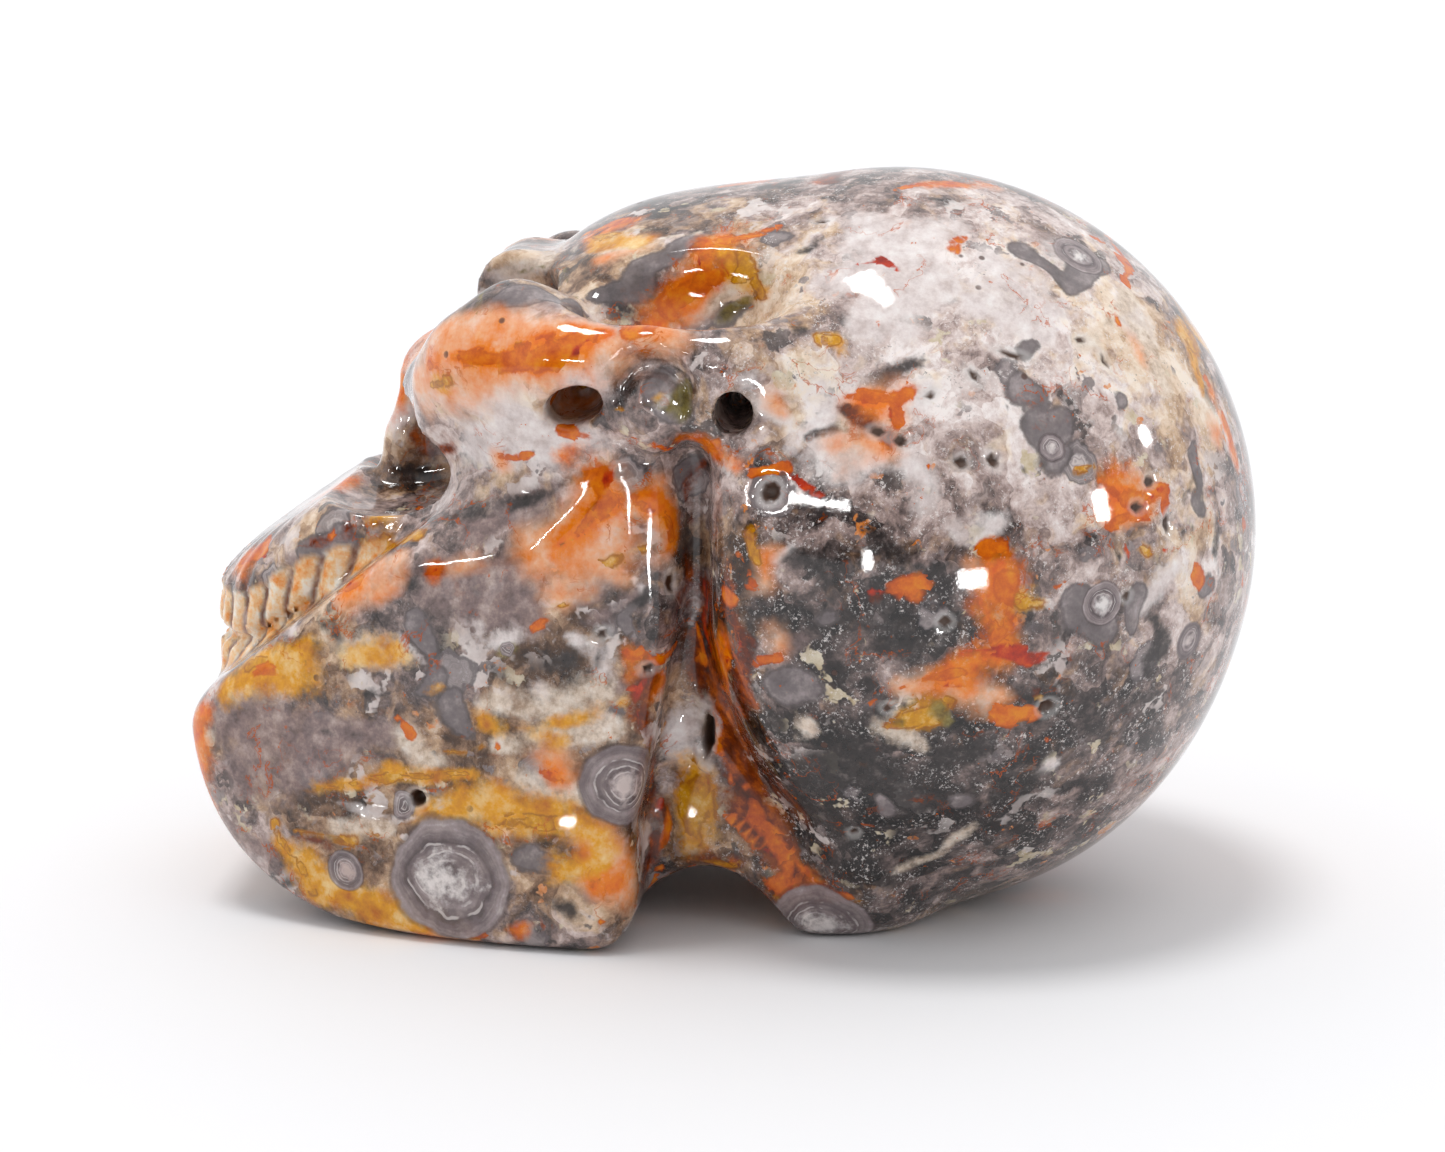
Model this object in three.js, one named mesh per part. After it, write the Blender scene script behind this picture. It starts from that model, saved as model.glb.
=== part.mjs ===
// Agate skull carving: one polished stone, in millimetres, +Z up, face towards -Y, its left side at +X.
//
// The form is a distance field. Each feature is an ellipsoid, a round bar or a slope, and it is joined to
// the rest or cut out of it with a soft edge. A net of squares over a box grid then turns the field into
// one closed mesh. The two halves are alike, so every feature is given once, for positive x.

import * as THREE from 'three';

// Driving dimensions: each ellipsoid has its middle and its half sizes, and a tilt about X in degrees
const middleOfLength = 0.27;
const cranium = { y: 8.2, z: 17.35, halfWidth: 16.4, halfLength: 16.85, halfHeight: 17 };
const occiput = { y: 8.8, z: 12.8, halfWidth: 13, halfLength: 13.8, halfHeight: 13 };
const forehead = { y: -0.5, z: 19.8, halfWidth: 15.3, halfLength: 12, halfHeight: 13.4 };
const neck = { y: 3, z: 5, halfWidth: 10.6, halfLength: 10, halfHeight: 8 };
const foot = { y: 5.6, z: 3.2, halfWidth: 12.2, halfLength: 6.2, halfHeight: 6 };
const midFace = { y: -4.5, z: 23.4, halfWidth: 12.4, halfLength: 9, halfHeight: 4.8 };
const temple = { x: 15, y: -1.2, z: 30.8, halfWidth: 4.8, halfLength: 4.8, halfHeight: 2.8, tilt: -8 };
const eyeSocket = { x: 5.7, y: -10.6, z: 28.3, halfWidth: 3.9, halfLength: 3.3, halfHeight: 5, tilt: 45 };
const eyeHollow = { x: 10.8, y: -1.2, z: 30.3, halfWidth: 2.5, halfLength: 4.9, halfHeight: 3.3, tilt: -3 };
const nosePit = { x: 3.5, y: -14.8, z: 21.6, halfWidth: 6.2, halfLength: 4.6, halfHeight: 2.9 };
const noseLean = 0.45;
const jawHollow = { y: -12.5, z: -2, halfWidth: 6, halfLength: 8, halfHeight: 5 };
const jawKnob = { x: 12.8, y: -1.8, z: 25.1, halfWidth: 2, halfLength: 1.8, halfHeight: 2.1 };
const earHole = { x: 14, y: 1.7, z: 25.1, halfWidth: 5, halfLength: 0.95, halfHeight: 1.05 };
const cheekHole = { x: 13, y: -5.3, z: 25.2, halfWidth: 4.5, halfLength: 1.45, halfHeight: 1, tilt: 20 };
const jawSide = { y: -8.4, z: 11.3, halfLength: 16.2, halfHeight: 11.8, squareness: 2.8, halfWidth: 13.4 };
const archOverTable = { y: 0.2, height: 3.1, halfSpan: 4 };

// Round bars: each point is [x, y, z, radius]
const brow = [
  [0, -9.3, 28.6, 2],
  [2.6, -9.2, 28.6, 1.95],
  [5.2, -7.6, 28.2, 1.6],
];
const eyeRim = [
  [9.8, -6.2, 28, 1.5],
  [9.6, -8.2, 28.3, 1.7],
  [9.4, -10.2, 26.8, 1.8],
];
const cheekbone = [
  [0, -13.3, 24.3, 1.6],
  [4, -12.4, 24.2, 1.9],
  [7.5, -11, 25.2, 2.2],
  [10.3, -8.8, 26.5, 2.1],
  [12.1, -5.8, 27, 2],
  [12.9, -2, 27, 1.8],
  [13.1, 1.5, 27, 1.4],
  [11.8, 5.5, 27.4, 1],
];
const noseBridge = [
  [0, -9.3, 27.4, 1.6],
  [0, -13.2, 24.5, 1.6],
];
const noseEdge = [
  [0, -14.3, 24, 0.85],
  [0, -15.2, 21.5, 0.9],
  [0, -15.8, 18.7, 1],
];
const noseWall = [
  [0, -12.5, 24, 2.8],
  [0, -13.3, 19.5, 2.8],
];
const noseWallHalfThickness = 0.8;

// Grid lines of the net: close over the face, wider over the plain back
const gridWidth = { from: -18.2, steps: [[18.2, 1.3]] };
const gridLength = { from: -26.3, steps: [[-7, 1.1], [3, 0.95], [27.6, 2.1]] };
const gridHeight = { from: -2.6, steps: [[19.8, 1.42], [29, 0.95], [36, 1.6]] };

function softMin(a, b, reach) {
  const share = Math.min(1, Math.max(0, 0.5 + (0.5 * (b - a)) / reach));
  return b + (a - b) * share - reach * share * (1 - share);
}

function softMax(a, b, reach) {
  return -softMin(-a, -b, reach);
}

function ellipsoid(p, shape) {
  const x = p.x - (shape.x ?? 0);
  const turn = THREE.MathUtils.degToRad(shape.tilt ?? 0);
  const alongY = p.y - shape.y;
  const alongZ = p.z - shape.z;
  const y = Math.cos(turn) * alongY + Math.sin(turn) * alongZ;
  const z = Math.cos(turn) * alongZ - Math.sin(turn) * alongY;
  const { halfWidth: a, halfLength: b, halfHeight: c } = shape;
  const scaled = Math.hypot(x / a, y / b, z / c);
  const slope = Math.hypot(x / a ** 2, y / b ** 2, z / c ** 2);
  return (scaled * (scaled - 1)) / Math.max(slope, 1e-6);
}

function roundBar(p, points) {
  let nearest = Infinity;
  for (let n = 1; n < points.length; n += 1) {
    const [ax, ay, az, ar] = points[n - 1];
    const [bx, by, bz, br] = points[n];
    const along = (p.x - ax) * (bx - ax) + (p.y - ay) * (by - ay) + (p.z - az) * (bz - az);
    const squared = (bx - ax) ** 2 + (by - ay) ** 2 + (bz - az) ** 2;
    const t = Math.min(1, Math.max(0, along / squared));
    const away = Math.hypot(p.x - ax - t * (bx - ax), p.y - ay - t * (by - ay), p.z - az - t * (bz - az));
    const distance = away - ar - t * (br - ar);
    nearest = nearest === Infinity ? distance : softMin(nearest, distance, 0.6);
  }
  return nearest;
}

// The jaw is a plate with a rounded side view, tapered towards the chin and bevelled along its upper edge
function jaw(p) {
  const { y, z, halfLength, halfHeight, squareness, halfWidth } = jawSide;
  const lengthShare = Math.abs((p.y - y) / halfLength) ** squareness;
  const heightShare = Math.abs((p.z - z) / halfHeight) ** squareness;
  const outline = ((lengthShare + heightShare) ** (1 / squareness) - 1) * halfHeight;
  const taper = 0.0125 * Math.max(0, -2 - p.y) ** 2 + 0.004 * (p.z - 11) ** 2;
  let body = softMax(outline, p.x - halfWidth + taper, 1.4);
  const upperFront = -0.619 * (p.y + 22.7) + 0.785 * (p.z - 11.2);
  body = softMax(body, upperFront, 1.2);
  const ridge = 17 + 0.318 * (p.y + 14.2) + 0.8 * Math.min(3.9, Math.max(0, p.y + 7.4));
  body = softMax(body, 0.66 * (p.x - 13) + 0.75 * (p.z - ridge), 1.2);
  const rearEdge = -0.8 + 0.2 * Math.min(0, Math.max(-10, p.z - 16));
  return softMax(body, p.y - rearEdge, 2.2);
}

// The upper jaw with the row of teeth, rounded in plan and sloping down to the lip
function upperJaw(p) {
  const plan = (Math.hypot(p.x / 8.2, (p.y + 13.5) / 10.7) - 1) * 8.2;
  const slope = -0.552 * (p.y + 23) + 0.834 * (p.z - 16.1);
  return softMax(softMax(plan, slope, 2), 5 - p.z, 1);
}

// The flat side of the face between nose and jaw, standing further forward the lower it is
function upperCheek(p) {
  const middle = -6 - 0.4 * Math.max(0, 23.3 - p.z);
  const plan = (Math.hypot(p.x / 11.6, (p.y - middle) / 6.4) - 1) * 6.4;
  return softMax(softMax(plan, p.z - 25.2, 1), 18 - p.z, 1);
}

// The step that sets the dome back behind the jaw, up to just under the ear
function stepBehindJaw(p) {
  const drop = Math.max(0, 15 - p.z);
  const domeFront = 0.6 + 0.1 * drop + 0.03 * drop ** 2;
  const besideNeck = softMax(p.y - domeFront, 10.2 - p.x, 2.5);
  return softMax(besideNeck, p.z - 23.6, 1.5);
}

function skullField(x, y, z) {
  const p = { x: Math.abs(x), y: y + middleOfLength, z };

  let form = ellipsoid(p, cranium);
  form = softMin(form, ellipsoid(p, occiput), 2);
  form = softMin(form, ellipsoid(p, forehead), 2.5);
  form = softMin(form, ellipsoid(p, neck), 1);
  form = softMin(form, ellipsoid(p, foot), 2);
  form = softMax(form, -stepBehindJaw(p), 3);
  form = softMax(form, -ellipsoid(p, temple), 1.6);

  form = softMin(form, ellipsoid(p, midFace), 1.5);
  form = softMin(form, jaw(p), 1.2);
  form = softMin(form, upperJaw(p), 0.7);
  form = softMin(form, upperCheek(p), 1);
  form = softMin(form, roundBar(p, brow), 1.2);
  form = softMin(form, roundBar(p, eyeRim), 0.8);
  form = softMin(form, roundBar(p, cheekbone), 2.4);
  form = softMin(form, roundBar(p, noseBridge), 1.2);
  form = softMax(form, -ellipsoid(p, eyeSocket), 0.7);
  form = softMax(form, -ellipsoid(p, eyeHollow), 1);
  const leaning = { x: p.x + noseLean * (z - nosePit.z), y: p.y, z };
  form = softMax(form, -ellipsoid(leaning, nosePit), 0.5);
  const wall = softMax(p.x - noseWallHalfThickness, roundBar(p, noseWall), 0.4);
  form = softMin(form, softMin(roundBar(p, noseEdge), wall, 0.5), 0.5);

  const archTop = archOverTable.height * (1 - ((p.y - archOverTable.y) / archOverTable.halfSpan) ** 2);
  form = softMax(form, 0.75 * (archTop - z), 0.8);
  form = softMax(form, -ellipsoid(p, jawHollow), 1);
  form = softMin(form, ellipsoid(p, jawKnob), 0.4);
  form = softMax(form, -ellipsoid(p, earHole), 0.3);
  form = softMax(form, -ellipsoid(p, cheekHole), 0.4);

  // The stone is ground flat where it stands
  return softMax(form, -z, 0.8);
}

function gridLines(grid) {
  const lines = [grid.from];
  for (const [end, step] of grid.steps) {
    while (lines.at(-1) < end - 1e-6) {
      lines.push(lines.at(-1) + step);
    }
  }
  return lines;
}

// Corner n of a grid cell lies one step on along X, Y or Z for each of its bits 1, 2 and 4
function cornerOf(n) {
  return [n & 1, (n >> 1) & 1, (n >> 2) & 1];
}

// An edge of a cell is named after its lower corner and its axis
function edgeName(a, b) {
  return Math.min(a, b) * 3 + Math.log2(a ^ b);
}

function sidesOfCell() {
  const sides = [];
  for (const [along, across, over] of [[1, 2, 4], [2, 4, 1], [4, 1, 2]]) {
    for (const start of [0, over]) {
      sides.push([start, start | along, start | along | across, start | across]);
    }
  }
  return sides;
}

// The crossed edges of one cell, in groups that belong to the same patch of surface
function surfacePatches(inside, sides) {
  let patches = [];
  const join = (first, second) => {
    const touched = patches.filter((patch) => patch.has(first) || patch.has(second));
    const merged = new Set([first, second, ...touched.flatMap((patch) => [...patch])]);
    patches = patches.filter((patch) => !touched.includes(patch));
    patches.push(merged);
  };
  for (const side of sides) {
    const edges = side.map((corner, n) => edgeName(corner, side[(n + 1) % 4]));
    const crossed = edges.filter((edge, n) => inside[side[n]] !== inside[side[(n + 1) % 4]]);
    if (crossed.length === 2) {
      join(crossed[0], crossed[1]);
    }
    if (crossed.length === 4) {
      side.forEach((corner, n) => {
        if (inside[corner]) {
          join(edges[(n + 3) % 4], edges[n]);
        }
      });
    }
  }
  return patches;
}

// One point in each grid cell for each patch of surface in it, and one square around each crossed grid edge
function netMesh(field, xs, ys, zs) {
  const [nx, ny, nz] = [xs.length, ys.length, zs.length];
  const at = (i, j, k) => (i * ny + j) * nz + k;
  const values = new Float64Array(nx * ny * nz);
  for (let i = 0; i < nx; i += 1) {
    for (let j = 0; j < ny; j += 1) {
      for (let k = 0; k < nz; k += 1) {
        values[at(i, j, k)] = field(xs[i], ys[j], zs[k]);
      }
    }
  }

  const placeOn = (i, j, k, edge) => {
    const [a, b, c] = cornerOf(Math.floor(edge / 3));
    const ends = [[i + a, j + b, k + c], [i + a, j + b, k + c]];
    ends[1][edge % 3] += 1;
    const [first, second] = ends.map((end) => values[at(...end)]);
    const [start, finish] = ends.map((end) => new THREE.Vector3(xs[end[0]], ys[end[1]], zs[end[2]]));
    return start.lerp(finish, first / (first - second));
  };

  const sides = sidesOfCell();
  const points = [];
  const pointOf = new Map();
  for (let i = 0; i < nx - 1; i += 1) {
    for (let j = 0; j < ny - 1; j += 1) {
      for (let k = 0; k < nz - 1; k += 1) {
        const inside = [];
        for (let n = 0; n < 8; n += 1) {
          const [a, b, c] = cornerOf(n);
          inside.push(values[at(i + a, j + b, k + c)] < 0);
        }
        if (inside.every((one) => one === inside[0])) {
          continue;
        }
        for (const patch of surfacePatches(inside, sides)) {
          const place = new THREE.Vector3();
          for (const edge of patch) {
            place.add(placeOn(i, j, k, edge));
            pointOf.set(at(i, j, k) * 24 + edge, points.length);
          }
          points.push(place.divideScalar(patch.size));
        }
      }
    }
  }

  const triangles = [];
  for (let i = 1; i < nx - 1; i += 1) {
    for (let j = 1; j < ny - 1; j += 1) {
      for (let k = 1; k < nz - 1; k += 1) {
        for (let axis = 0; axis < 3; axis += 1) {
          const bit = 1 << axis;
          const u = 1 << ((axis + 1) % 3);
          const v = 1 << ((axis + 2) % 3);
          const [di, dj, dk] = cornerOf(bit);
          const here = values[at(i, j, k)] < 0;
          const next = values[at(i + di, j + dj, k + dk)] < 0;
          if (here === next) {
            continue;
          }
          const ring = [u | v, v, 0, u].map((back) => {
            const [bi, bj, bk] = cornerOf(back);
            return pointOf.get(at(i - bi, j - bj, k - bk) * 24 + back * 3 + axis);
          });
          addSquare(triangles, points, here ? ring : ring.reverse());
        }
      }
    }
  }
  return { points, triangles };
}

// A square becomes two triangles along its shorter diagonal
function addSquare(triangles, points, [a, b, c, d]) {
  const first = points[a].distanceToSquared(points[c]);
  const second = points[b].distanceToSquared(points[d]);
  if (first <= second) {
    triangles.push(a, b, c, a, c, d);
  } else {
    triangles.push(b, c, d, b, d, a);
  }
}

// Points beside the ground plane are set onto it, so that the stone stands on real flat faces
function levelTheBase(points) {
  for (const point of points) {
    if (point.z < 0.12) {
      point.z = 0;
    }
  }
}

function skull() {
  const net = netMesh(skullField, gridLines(gridWidth), gridLines(gridLength), gridLines(gridHeight));
  levelTheBase(net.points);
  const geometry = new THREE.BufferGeometry();
  const places = net.points.flatMap((point) => point.toArray());
  geometry.setAttribute('position', new THREE.Float32BufferAttribute(places, 3));
  geometry.setIndex(net.triangles);
  geometry.computeVertexNormals();
  const stone = new THREE.MeshStandardMaterial({ color: 0xb3a6a0, roughness: 0.15, metalness: 0 });
  const mesh = new THREE.Mesh(geometry, stone);
  mesh.name = 'skull';
  return mesh;
}

const carving = new THREE.Group();
carving.name = 'agate_skull_carving';
carving.add(skull());

export default carving;
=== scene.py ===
import math

import bpy
import numpy as np
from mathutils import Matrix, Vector
from mathutils.bvhtree import BVHTree


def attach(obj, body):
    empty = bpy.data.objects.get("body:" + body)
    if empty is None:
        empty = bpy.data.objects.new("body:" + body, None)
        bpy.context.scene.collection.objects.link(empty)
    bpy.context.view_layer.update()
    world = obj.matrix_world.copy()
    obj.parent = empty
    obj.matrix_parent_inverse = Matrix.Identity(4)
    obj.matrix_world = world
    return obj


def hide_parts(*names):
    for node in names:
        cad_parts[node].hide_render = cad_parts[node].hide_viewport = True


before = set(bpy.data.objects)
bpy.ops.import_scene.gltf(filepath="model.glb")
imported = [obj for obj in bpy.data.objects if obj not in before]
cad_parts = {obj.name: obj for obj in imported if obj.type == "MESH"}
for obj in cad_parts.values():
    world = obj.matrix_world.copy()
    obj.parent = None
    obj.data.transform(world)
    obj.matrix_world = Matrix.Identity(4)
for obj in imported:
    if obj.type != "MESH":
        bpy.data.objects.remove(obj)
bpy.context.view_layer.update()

# Crazy lace agate skull carving. The stone is a distance field in millimetres, the same form as the solid
# and with its teeth, pits and vugs, meshed once. Its colours are one node material: noise and broken cells
# make the ground, and named marks, placed by pixel of the photograph or scattered by seed, lie over it.

MM = 0.001

# The photograph's view, worked out from the carving's outline and shadow
PHOTO_WIDTH, PHOTO_HEIGHT = 1445, 1152
AZIMUTH, ELEVATION = math.radians(95), math.radians(12)
DISTANCE = 165.0
PIXELS_PER_MM = 21.0
MIDDLE_OF_LENGTH = 0.27
TARGET = Vector((0, -MIDDLE_OF_LENGTH, 14.9))
BACK = Vector((math.sin(AZIMUTH) * math.cos(ELEVATION), -math.cos(AZIMUTH) * math.cos(ELEVATION), math.sin(ELEVATION)))
RIGHT = Vector((math.cos(AZIMUTH), math.sin(AZIMUTH), 0))
UP = BACK.cross(RIGHT)
EYE = TARGET + BACK * DISTANCE


# Form

def smooth_min(a, b, reach):
    share = np.clip(0.5 + 0.5 * (b - a) / reach, 0.0, 1.0)
    return b + (a - b) * share - reach * share * (1.0 - share)


def smooth_max(a, b, reach):
    return -smooth_min(-a, -b, reach)


def ellipsoid(p, middle, half, tilt=0.0):
    x, y, z = (p[n] - middle[n] for n in range(3))
    if tilt:
        c, s = math.cos(math.radians(tilt)), math.sin(math.radians(tilt))
        y, z = c * y + s * z, c * z - s * y
    scaled = np.sqrt((x / half[0]) ** 2 + (y / half[1]) ** 2 + (z / half[2]) ** 2)
    slope = np.sqrt((x / half[0] ** 2) ** 2 + (y / half[1] ** 2) ** 2 + (z / half[2] ** 2) ** 2)
    return scaled * (scaled - 1.0) / np.maximum(slope, 1e-6)


def round_bar(p, points):
    """Each point is (x, y, z, radius)."""
    nearest = None
    for (ax, ay, az, ar), (bx, by, bz, br) in zip(points[:-1], points[1:]):
        dx, dy, dz = bx - ax, by - ay, bz - az
        t = ((p[0] - ax) * dx + (p[1] - ay) * dy + (p[2] - az) * dz) / (dx * dx + dy * dy + dz * dz)
        t = np.clip(t, 0.0, 1.0)
        away = np.sqrt((p[0] - ax - t * dx) ** 2 + (p[1] - ay - t * dy) ** 2 + (p[2] - az - t * dz) ** 2)
        away = away - ar - t * (br - ar)
        nearest = away if nearest is None else smooth_min(nearest, away, 0.6)
    return nearest


BROW = [(0, -9.3, 28.6, 2.0), (2.6, -9.2, 28.6, 1.95), (5.2, -7.6, 28.2, 1.6)]
EYE_RIM = [(9.8, -6.2, 28.0, 1.5), (9.6, -8.2, 28.3, 1.7), (9.4, -10.2, 26.8, 1.8)]
CHEEKBONE = [(0, -13.3, 24.3, 1.6), (4, -12.4, 24.2, 1.9), (7.5, -11, 25.2, 2.2), (10.3, -8.8, 26.5, 2.1),
             (12.1, -5.8, 27, 2), (12.9, -2, 27, 1.8), (13.1, 1.5, 27, 1.4), (11.8, 5.5, 27.4, 1)]
NOSE_BRIDGE = [(0, -9.3, 27.4, 1.6), (0, -13.2, 24.5, 1.6)]
NOSE_EDGE = [(0, -14.3, 24, 0.75), (0, -15.2, 21.5, 0.8), (0, -15.8, 18.7, 1)]
NOSE_WALL = [(0, -12.5, 24, 2.7), (0, -13.3, 19.5, 2.7)]
TOOTH_ANGLE = 9.5


def jaw(p):
    x, y, z = p
    side = (np.abs((y + 8.4) / 16.2) ** 2.8 + np.abs((z - 11.3) / 11.8) ** 2.8) ** (1 / 2.8)
    taper = 0.0125 * np.maximum(0.0, -2.0 - y) ** 2 + 0.004 * (z - 11.0) ** 2
    body = smooth_max((side - 1.0) * 11.8, x - 13.4 + taper, 1.4)
    body = smooth_max(body, -0.619 * (y + 22.7) + 0.785 * (z - 11.2), 1.2)
    ridge = 17.0 + 0.318 * (y + 14.2) + 0.8 * np.clip(y + 7.4, 0.0, 3.9)
    body = smooth_max(body, 0.66 * (x - 13.0) + 0.75 * (z - ridge), 1.2)
    return smooth_max(body, y + 0.8 - 0.2 * np.clip(z - 16.0, -10.0, 0.0), 2.2)


def tooth_place(p):
    """How far a point is below the gum line, and how near to the middle of a tooth, from 0 in a gap to 1."""
    x, y, z = p
    gum = smooth_max(17.9 - 0.055 * (y + 14.2) ** 2, 14.5 + 0.0 * y, 0.8)
    angle = np.degrees(np.arctan2(x / 8.2, -(y + 13.5) / 10.7)) - 2.0 * (z - gum)
    across = np.abs(np.sin(np.pi * angle / TOOTH_ANGLE))
    return gum + 0.3 * across - z, across


def upper_jaw(p):
    """The slope from nose to lip, and below its gum line the grooved row of teeth, parted by the bite."""
    x, y, z = p
    plan = (np.sqrt((x / 8.2) ** 2 + ((y + 13.5) / 10.7) ** 2) - 1.0) * 8.2
    below, across = tooth_place(p)
    tooth = np.clip(below / 0.35, 0.0, 1.0)
    root = np.exp(-np.clip(-below, 0.0, 9.0) / 1.3) * (1.0 - tooth)
    bulge = tooth * (0.34 * across ** 0.6 - 0.3) + root * 0.22 * across
    bite = np.exp(-((below - 2.5) / 0.3) ** 2) * 0.5
    slope = -0.552 * (y + 23.0) + 0.834 * (z - 16.1)
    body = smooth_max(plan, slope, 2.0) - bulge + bite
    return smooth_max(body, 5.0 - z, 1.0)


def upper_cheek(p):
    """The flat side of the face between nose and jaw."""
    x, y, z = p
    plan = (np.sqrt((x / 11.6) ** 2 + ((y + 6.0 + 0.4 * np.maximum(0.0, 23.3 - z)) / 6.4) ** 2) - 1.0) * 6.4
    return smooth_max(smooth_max(plan, z - 25.2, 1.0), 18.0 - z, 1.0)


def skull_form(x, y, z):
    p = (np.abs(x), y + MIDDLE_OF_LENGTH, z)
    y = p[1]
    form = ellipsoid(p, (0, 8.2, 17.35), (16.4, 16.85, 17))
    form = smooth_min(form, ellipsoid(p, (0, 8.8, 12.8), (13, 13.8, 13)), 2.0)
    form = smooth_min(form, ellipsoid(p, (0, -0.5, 19.8), (15.3, 12, 13.4)), 2.5)
    form = smooth_min(form, ellipsoid(p, (0, 3, 5), (10.6, 10, 8)), 1.0)
    form = smooth_min(form, ellipsoid(p, (0, 5.6, 3.2), (12.2, 6.2, 6)), 2)
    drop = np.maximum(0.0, 15.0 - z)
    step = smooth_max(y - 0.6 - 0.1 * drop - 0.03 * drop ** 2, 10.2 - p[0], 2.5)
    form = smooth_max(form, -smooth_max(step, z - 23.6, 1.5), 3.0)
    form = smooth_max(form, -ellipsoid(p, (15, -1.2, 30.8), (4.8, 4.8, 2.8), -8), 1.6)
    form = smooth_min(form, ellipsoid(p, (0, -4.5, 23.4), (12.4, 9, 4.8)), 1.5)
    form = smooth_min(form, jaw(p), 1.2)
    form = smooth_min(form, upper_jaw(p), 0.4)
    form = smooth_min(form, upper_cheek(p), 1.0)
    form = smooth_min(form, round_bar(p, BROW), 1.2)
    form = smooth_min(form, round_bar(p, EYE_RIM), 0.8)
    form = smooth_min(form, round_bar(p, CHEEKBONE), 2.4)
    form = smooth_min(form, round_bar(p, NOSE_BRIDGE), 1.2)
    form = smooth_max(form, -ellipsoid(p, (5.9, -10.4, 28.6), (3.3, 3.3, 5), 45), 0.6)
    form = smooth_max(form, -ellipsoid(p, (10.8, -1.2, 30.3), (2.5, 4.9, 3.3), -3), 1.0)
    leaning = (p[0] + 0.45 * (z - 21.7), y, z)
    form = smooth_max(form, -ellipsoid(leaning, (3.5, -14.8, 21.6), (6.2, 4.6, 2.9)), 0.3)
    wall = smooth_max(p[0] - 0.6, round_bar(p, NOSE_WALL), 0.4)
    form = smooth_min(form, smooth_min(round_bar(p, NOSE_EDGE), wall, 0.5), 0.5)
    form = smooth_max(form, 0.75 * (3.1 * (1.0 - ((y - 0.2) / 4.0) ** 2) - z), 0.8)
    form = smooth_max(form, -ellipsoid(p, (0, -12.5, -2), (6, 8, 5)), 1.0)
    form = smooth_max(form, -ellipsoid(p, (15.2, -1.8, 25.8), (2, 2.2, 2.3)), 0.3)
    form = smooth_min(form, ellipsoid(p, (12.6, -1.8, 25.1), (2, 1.75, 2.1)), 0.15)
    form = smooth_max(form, -ellipsoid(p, (14, 1.7, 25.1), (5, 0.85, 0.95)), 0.25)
    form = smooth_max(form, -ellipsoid(p, (13, -5.3, 25.2), (4.5, 1.4, 0.9), 20), 0.3)
    return smooth_max(form, -z, 0.8)


# Mesh

def grid_lines(start, steps):
    lines = [start]
    for end, step in steps:
        while lines[-1] < end:
            lines.append(lines[-1] + step)
    return np.array(lines)


def net_mesh(field, axes):
    """One point in each grid cell that the surface crosses, one square around each crossed grid edge."""
    inside = field < 0
    size = field.shape
    corners = np.array([(i, j, k) for i in (0, 1) for j in (0, 1) for k in (0, 1)])
    edges = [(a, b) for a in range(8) for b in range(a + 1, 8) if np.abs(corners[a] - corners[b]).sum() == 1]
    part = lambda grid, c: grid[c[0]:size[0] - 1 + c[0], c[1]:size[1] - 1 + c[1], c[2]:size[2] - 1 + c[2]]
    count = sum(part(inside, c).astype(np.int8) for c in corners)
    cells = np.argwhere((count > 0) & (count < 8))
    index = -np.ones([n - 1 for n in size], np.int64)
    index[tuple(cells.T)] = np.arange(len(cells))
    values = np.stack([part(field, c)[tuple(cells.T)] for c in corners], 1)
    total, hits = np.zeros((len(cells), 3)), np.zeros(len(cells))
    for a, b in edges:
        va, vb = values[:, a], values[:, b]
        crossed = (va < 0) != (vb < 0)
        t = np.where(crossed, va / np.where(crossed, va - vb, 1.0), 0.0)
        total += np.where(crossed[:, None], corners[a] + t[:, None] * (corners[b] - corners[a]), 0.0)
        hits += crossed
    within = total / hits[:, None]
    points = np.stack([axes[n][cells[:, n]] + within[:, n] * (axes[n][cells[:, n] + 1] - axes[n][cells[:, n]])
                       for n in range(3)], 1)
    squares = []
    for axis in range(3):
        u, v = (axis + 1) % 3, (axis + 2) % 3
        low, high = [slice(1, -1)] * 3, [slice(1, -1)] * 3
        low[axis], high[axis] = slice(0, -1), slice(1, None)
        first, second = inside[tuple(low)], inside[tuple(high)]
        for turned, crossed in ((False, first & ~second), (True, ~first & second)):
            at = np.argwhere(crossed)
            at[:, u] += 1
            at[:, v] += 1

            def cell_back(du, dv):
                cell = at.copy()
                cell[:, u] -= du
                cell[:, v] -= dv
                return index[tuple(cell.T)]

            ring = np.stack([cell_back(1, 1), cell_back(0, 1), cell_back(0, 0), cell_back(1, 0)], 1)
            squares.append(ring[:, ::-1] if turned else ring)
    return points, np.concatenate(squares)


def ray_through(px, py):
    across = (px - PHOTO_WIDTH / 2) / PIXELS_PER_MM
    above = (PHOTO_HEIGHT / 2 - py) / PIXELS_PER_MM
    return (RIGHT * across + UP * above - BACK * DISTANCE).normalized()


def sample_form(step):
    axes = [grid_lines(-17.6 + 0.01, [(17.6, step)]),
            grid_lines(-26.0, [(-11.5, step * 0.66), (26.0, step)]),
            grid_lines(-1.0 - step * 0.37, [(35.6, step)])]
    return np.meshgrid(*axes, indexing="ij"), axes


def carve(step):
    grid, axes = sample_form(step)
    field = skull_form(*grid)
    for place, half, turn in HOLES:
        x, y, z = (grid[n] - place[n] for n in range(3))
        near = np.sqrt((x * turn[0][0] + y * turn[0][1] + z * turn[0][2]) ** 2 / half[0] ** 2
                       + (x * turn[1][0] + y * turn[1][1] + z * turn[1][2]) ** 2 / half[1] ** 2
                       + (x * turn[2][0] + y * turn[2][1] + z * turn[2][2]) ** 2 / half[2] ** 2)
        field = smooth_max(field, (1.0 - near) * min(half), 0.12)
    return net_mesh(field, axes)


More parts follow.
